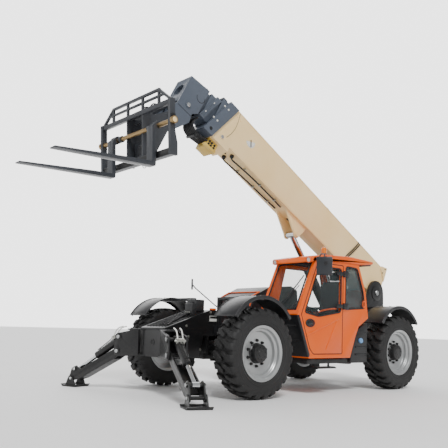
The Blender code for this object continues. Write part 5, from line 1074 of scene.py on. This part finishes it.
# ---------------------------------------------------------------- carriage
class HANDLER_OT_carriage(bpy.types.Operator):
    """Add the carriage's collars, caps, hoses and hanging ring"""
    bl_idname = "handler.carriage"
    bl_label = "Fork carriage"

    def execute(self, context):
        # the carriage and forks take the darker copy of the slate enamel, which is painted shade
        for node in ("fork_carriage", "left_fork", "right_fork", "coupler"):
            softened(node, 0.004, "slate_enamel_painted_shade")
        x, z = 0.482, -0.314
        for label, side in SIDES.items():
            cap = ring([(0.0, 0.052), (0.020, 0.051), (0.036, 0.044), (0.046, 0.030), (0.049, 0.012),
                        (0.049, 0.0), (0.0, 0.0)], (x, side * 0.8525, z), (0, side, 0), steps=36)
            settle(cap, label + "_shaft_cap", "boom_enamel", "carriage", CARRIAGE)
            keeper = block((x - 0.03, side * 0.865 - 0.012, z + 0.045),
                           (x + 0.03, side * 0.865 + 0.012, z + 0.085), 0.004)
            settle(keeper, label + "_shaft_keeper", "frame_coat", "carriage", CARRIAGE)
            web = slab([(0.405, -0.740), (0.515, -0.740), (0.500, -0.700), (0.420, -0.660)], side * 0.795,
                       side * 0.800, 0.0)
            settle(web, label + "_post_gusset", "slate_enamel_painted_shade", "carriage", CARRIAGE)
            collar = ring([(0.0335, -0.03), (0.046, -0.03), (0.046, 0.03), (0.0335, 0.03)],
                          (x, side * 0.35, z), (0, 1, 0), steps=32)
            settle(collar, label + "_shaft_collar", "slate_enamel_painted_shade", "carriage", CARRIAGE)
        beam = block((0.409, -0.795, -0.752), (0.508, 0.795, -0.668), 0.004)
        settle(beam, "lower_beam_cover", "frame_coat", "carriage", CARRIAGE)
        line = [hose([(0.36, y, -0.02), (0.30, y, 0.10), (0.22, y, 0.16), (0.10, y * 0.8, 0.14)], 0.010)
                for y in (-0.10, 0.10)]
        settle(joined(line), "carriage_hoses", "hose_rubber", "carriage", CARRIAGE)
        loop = ring([(0.018, -0.004), (0.026, -0.004), (0.026, 0.004), (0.018, 0.004)], (0.47, 0.20, -0.800),
                    (0.3, 1, 0), steps=28)
        eye = bar((0.47, 0.20, -0.790), (0.47, 0.20, -0.755), 0.008, sides=12)
        settle(joined([loop, eye]), "hanging_ring", "zinc", "carriage", CARRIAGE)
        return {"FINISHED"}


# ---------------------------------------------------------------- outriggers
class HANDLER_OT_outriggers(bpy.types.Operator):
    """Add pin ends, cylinder fittings, hoses and flared feet to the outriggers"""
    bl_idname = "handler.outriggers"
    bl_label = "Outriggers"

    def execute(self, context):
        for label, side in SIDES.items():
            root = Vector(JOINTS[label + "_outrigger"]["pos_m"])
            base = frame_at(root, yaw=side * OUTRIGGER_YAW)
            arm = base @ Matrix.Rotation(math.radians(OUTRIGGER_DROP), 4, "Y")
            softened(label + "_outrigger_arm", 0.004, "frame_coat")
            softened(label + "_outrigger_foot", 0.003, "frame_coat")
            self.pins(label, base, arm)
            self.cylinder(label)
            self.foot(label)
        return {"FINISHED"}

    def pins(self, label, base, arm):
        """Bright pin ends on the wing plates and the arm."""
        def end(x, z, y, radius):
            made = []
            for way in (-1, 1):
                made.append(ring([(0.0, 0.012), (radius * 0.8, 0.012), (radius, 0.008), (radius, -0.004),
                                  (0.0, -0.004)], (x, way * y, z), (0, way, 0), steps=28))
            return made
        wing = end(0.0, 0.0, 0.146, 0.027) + end(-0.022, 0.207, 0.144, 0.027)
        settle(joined(wing), label + "_wing_pins", "bright_steel", "machine", base)
        collars = []
        for x, z in ((0.0, 0.0), (-0.022, 0.207)):
            for way in (-1, 1):
                collars.append(ring([(0.030, 0.0), (0.052, 0.0), (0.052, 0.010), (0.046, 0.013),
                                     (0.030, 0.013)], (x, way * 0.133, z), (0, way, 0), steps=32))
        settle(joined(collars), label + "_wing_bosses", "frame_coat", "machine", base)
        tips = end(0.844, 0.099, 0.121, 0.022) + end(0.966, 0.0, 0.122, 0.022)
        settle(joined(tips), label + "_arm_pins", "bright_steel", label + "_arm", arm)
        tube = bar((0.844, -0.1205, 0.099), (0.844, -0.040, 0.099), 0.030, sides=24)
        other = bar((0.844, 0.040, 0.099), (0.844, 0.1205, 0.099), 0.030, sides=24)
        settle(joined([tube, other]), label + "_arm_cross_tube", "frame_coat", label + "_arm", arm)

    def cylinder(self, label):
        """The port block, hard lines and hose loops on the cylinder."""
        joint = JOINTS[label + "_outrigger_rod_slide"]
        foot = Vector(JOINTS[label + "_outrigger_barrel_swing"]["pos_m"])
        along = Vector(joint["axis"])
        level = Vector((0, 0, 1)).cross(along).normalized()
        up = along.cross(level)
        place = Matrix.Translation(foot) @ Matrix((along, level, up)).transposed().to_4x4()
        body = label + "_outrigger_cylinder"
        gland = ring([(0.032, 0.0), (0.056, 0.0), (0.058, -0.006), (0.058, -0.040), (0.054, -0.046),
                      (0.032, -0.046)], (0.562, 0, 0), (1, 0, 0), steps=36)
        settle(gland, label + "_cylinder_gland", "frame_coat", body, place)
        blocks = [block((0.10, -0.058, 0.040), (0.17, 0.058, 0.092), 0.006),
                  bar((0.135, -0.075, 0.070), (0.135, 0.075, 0.070), 0.016, sides=20)]
        settle(joined(blocks), label + "_check_valve", "zinc", body, place)
        lines = [hose([(0.17, y, 0.078), (0.24, y, 0.070), (0.40, y, 0.064), (0.50, y * 0.7, 0.060)], 0.007)
                 for y in (-0.025, 0.025)]
        settle(joined(lines), label + "_hard_lines", "frame_coat", body, place)
        loops = [hose([(0.12, y, 0.09), (0.07, y, 0.135), (-0.02, y * 1.1, 0.150), (-0.09, y * 1.2, 0.120)],
                      0.009) for y in (-0.035, 0.035)]
        settle(joined(loops), label + "_outrigger_hoses", "bright_paint", body, place)

    def foot(self, label):
        """Flared edges on the foot."""
        pos = Vector(JOINTS[label + "_foot_swing"]["pos_m"])
        place = frame_at(pos, yaw=SIDES[label] * OUTRIGGER_YAW)
        z = -pos.z
        flares = []
        for way in (-1, 1):
            outline = [(way * 0.118, z + 0.002), (way * 0.150, z + 0.030), (way * 0.146, z + 0.040),
                       (way * 0.108, z + 0.020)]
            if way < 0:
                outline = list(reversed(outline))
            flares.append(slab(outline, -0.165, 0.165, 0.002))
        settle(joined(flares), label + "_foot_flares", "frame_coat", label + "_foot", place)


# ---------------------------------------------------------------- finishes and stage
SUNS = (("key", (5.0, 8.0, 10.0), 16.0, 2.4),      # name, place it shines from, spread in degrees, strength
        ("fill", (9.0, -5.0, 5.0), 40.0, 0.4))
STUDIO_GLOW, BACKDROP_GLOW = 0.55, 3.2      # the world's strength around and behind the machine
BACKDROP_EDGE = (0.5, 0.8)                  # cosines of the angles between which the backdrop fades in


class HANDLER_OT_finishes(bpy.types.Operator):
    """Give every CAD node its finish"""
    bl_idname = "handler.finishes"
    bl_label = "Finishes"

    def execute(self, context):
        MATERIALS.update(make_materials(context.scene.handler_colours))
        for node, obj in frame["nodes"].items():
            finish = MATERIALS[NODE_FINISH[SLOT_OF[node]]]
            # the rear and quarter windows take the darker copy of the glass, which is painted shade
            if node in ("rear_window", "quarter_window"):
                finish = MATERIALS["glass_painted_shade"]
            for slot in obj.material_slots:
                slot.material = finish
        return {"FINISHED"}


class HANDLER_OT_stage(bpy.types.Operator):
    """Add the floor, the studio lights and the camera"""
    bl_idname = "handler.stage"
    bl_label = "Stage"

    def execute(self, context):
        deselect()
        bpy.ops.mesh.primitive_plane_add(size=160.0, location=(0.0, 0.0, -0.001))
        floor = bpy.context.object
        floor.name = "studio_floor"
        material, tree, shader, place = new_material("matt_studio_floor")
        patches = add_node(tree, "ShaderNodeTexNoise", Vector=place, Scale=0.5)   # patches 2 m across
        tone = add_node(tree, "ShaderNodeMix", COLOUR_MIX, i0=patches.outputs["Fac"],
                        i6=context.scene.handler_colours.floor, i7=linear("#FAFAFA"))
        tree.links.new(tone.outputs[2], shader.inputs["Base Color"])
        shader.inputs["Roughness"].default_value = 0.9
        floor.data.materials.append(material)
        self.world(context)
        for name, spot, spread, power in SUNS:
            light = bpy.data.lights.new(name, "SUN")
            light.energy = power
            light.angle = math.radians(spread)
            lamp = bpy.data.objects.new(name, light)
            lamp.location = spot
            lamp.rotation_euler = (-Vector(spot)).to_track_quat("-Z", "Y").to_euler()
            context.collection.objects.link(lamp)
        self.camera(context)
        return {"FINISHED"}

    def world(self, context):
        """A dim studio with a bright backdrop behind the machine."""
        world = bpy.data.worlds.new("studio")
        world.use_nodes = True
        tree = world.node_tree
        towards = add_node(tree, "ShaderNodeTexCoord").outputs["Generated"]
        yaw = math.radians(VIEW_YAW)
        facing = add_node(tree, "ShaderNodeVectorMath", {"operation": "DOT_PRODUCT"}, i0=towards,
                          i1=(math.cos(yaw), math.sin(yaw), 0.0))
        strength = add_node(tree, "ShaderNodeMapRange", {"interpolation_type": "SMOOTHSTEP"},
                            Value=facing.outputs["Value"], From_Min=BACKDROP_EDGE[0],
                            From_Max=BACKDROP_EDGE[1], To_Min=STUDIO_GLOW, To_Max=BACKDROP_GLOW)
        background = tree.nodes["Background"]
        background.inputs["Color"].default_value = (1.0, 1.0, 1.0, 1.0)
        tree.links.new(strength.outputs["Result"], background.inputs["Strength"])
        context.scene.world = world

    def camera(self, context):
        """The camera, low and close off the front left corner."""
        data = bpy.data.cameras.new("view")
        data.sensor_width = 36.0
        data.lens = 49.77
        data.shift_x = 0.0449
        data.shift_y = 0.1355
        camera = bpy.data.objects.new("view", data)
        yaw, pitch, roll = (math.radians(angle) for angle in (VIEW_YAW, 3.78, 1.74))
        ahead = Vector((math.cos(pitch) * math.cos(yaw), math.cos(pitch) * math.sin(yaw), math.sin(pitch)))
        across = ahead.cross(Vector((0, 0, 1))).normalized()
        up = across.cross(ahead)
        right = across * math.cos(roll) + up * math.sin(roll)
        top = up * math.cos(roll) - across * math.sin(roll)
        turn = Matrix((right, top, -ahead)).transposed().to_4x4()
        camera.matrix_world = MACHINE @ Matrix.Translation((6.105, 7.094, 0.980)) @ turn
        context.collection.objects.link(camera)
        context.scene.camera = camera


class HANDLER_PT_panel(bpy.types.Panel):
    """The handler's tools in the sidebar"""
    bl_idname = "HANDLER_PT_panel"
    bl_label = "Handler"
    bl_space_type = "VIEW_3D"
    bl_region_type = "UI"
    bl_category = "Handler"

    def draw(self, context):
        for group in (context.scene.handler_colours, context.scene.handler_sizes):
            for name in group.__annotations__:
                self.layout.prop(group, name)
        for operator in OPERATORS:
            self.layout.operator(operator.bl_idname)


OPERATORS = (HANDLER_OT_finishes, HANDLER_OT_stage, HANDLER_OT_wheels, HANDLER_OT_chassis, HANDLER_OT_fenders,
             HANDLER_OT_cab, HANDLER_OT_engine, HANDLER_OT_boom, HANDLER_OT_carriage, HANDLER_OT_outriggers)
CLASSES = (HandlerColours, HandlerSizes) + OPERATORS + (HANDLER_PT_panel,)


def register():
    """Register the classes and the scene's settings."""
    for cls in CLASSES:
        bpy.utils.register_class(cls)
    bpy.types.Scene.handler_colours = bpy.props.PointerProperty(type=HandlerColours)
    bpy.types.Scene.handler_sizes = bpy.props.PointerProperty(type=HandlerSizes)


def unregister():
    """Remove the classes and the scene's settings."""
    del bpy.types.Scene.handler_sizes
    del bpy.types.Scene.handler_colours
    for cls in reversed(CLASSES):
        bpy.utils.unregister_class(cls)


def main():
    """Build every piece in order."""
    register()
    bpy.ops.handler.finishes()
    bpy.ops.handler.stage()
    bpy.ops.handler.wheels()
    bpy.ops.handler.chassis()
    bpy.ops.handler.fenders()
    bpy.ops.handler.cab()
    bpy.ops.handler.engine()
    bpy.ops.handler.boom()
    bpy.ops.handler.carriage()
    bpy.ops.handler.outriggers()


if __name__ == "__main__":
    main()
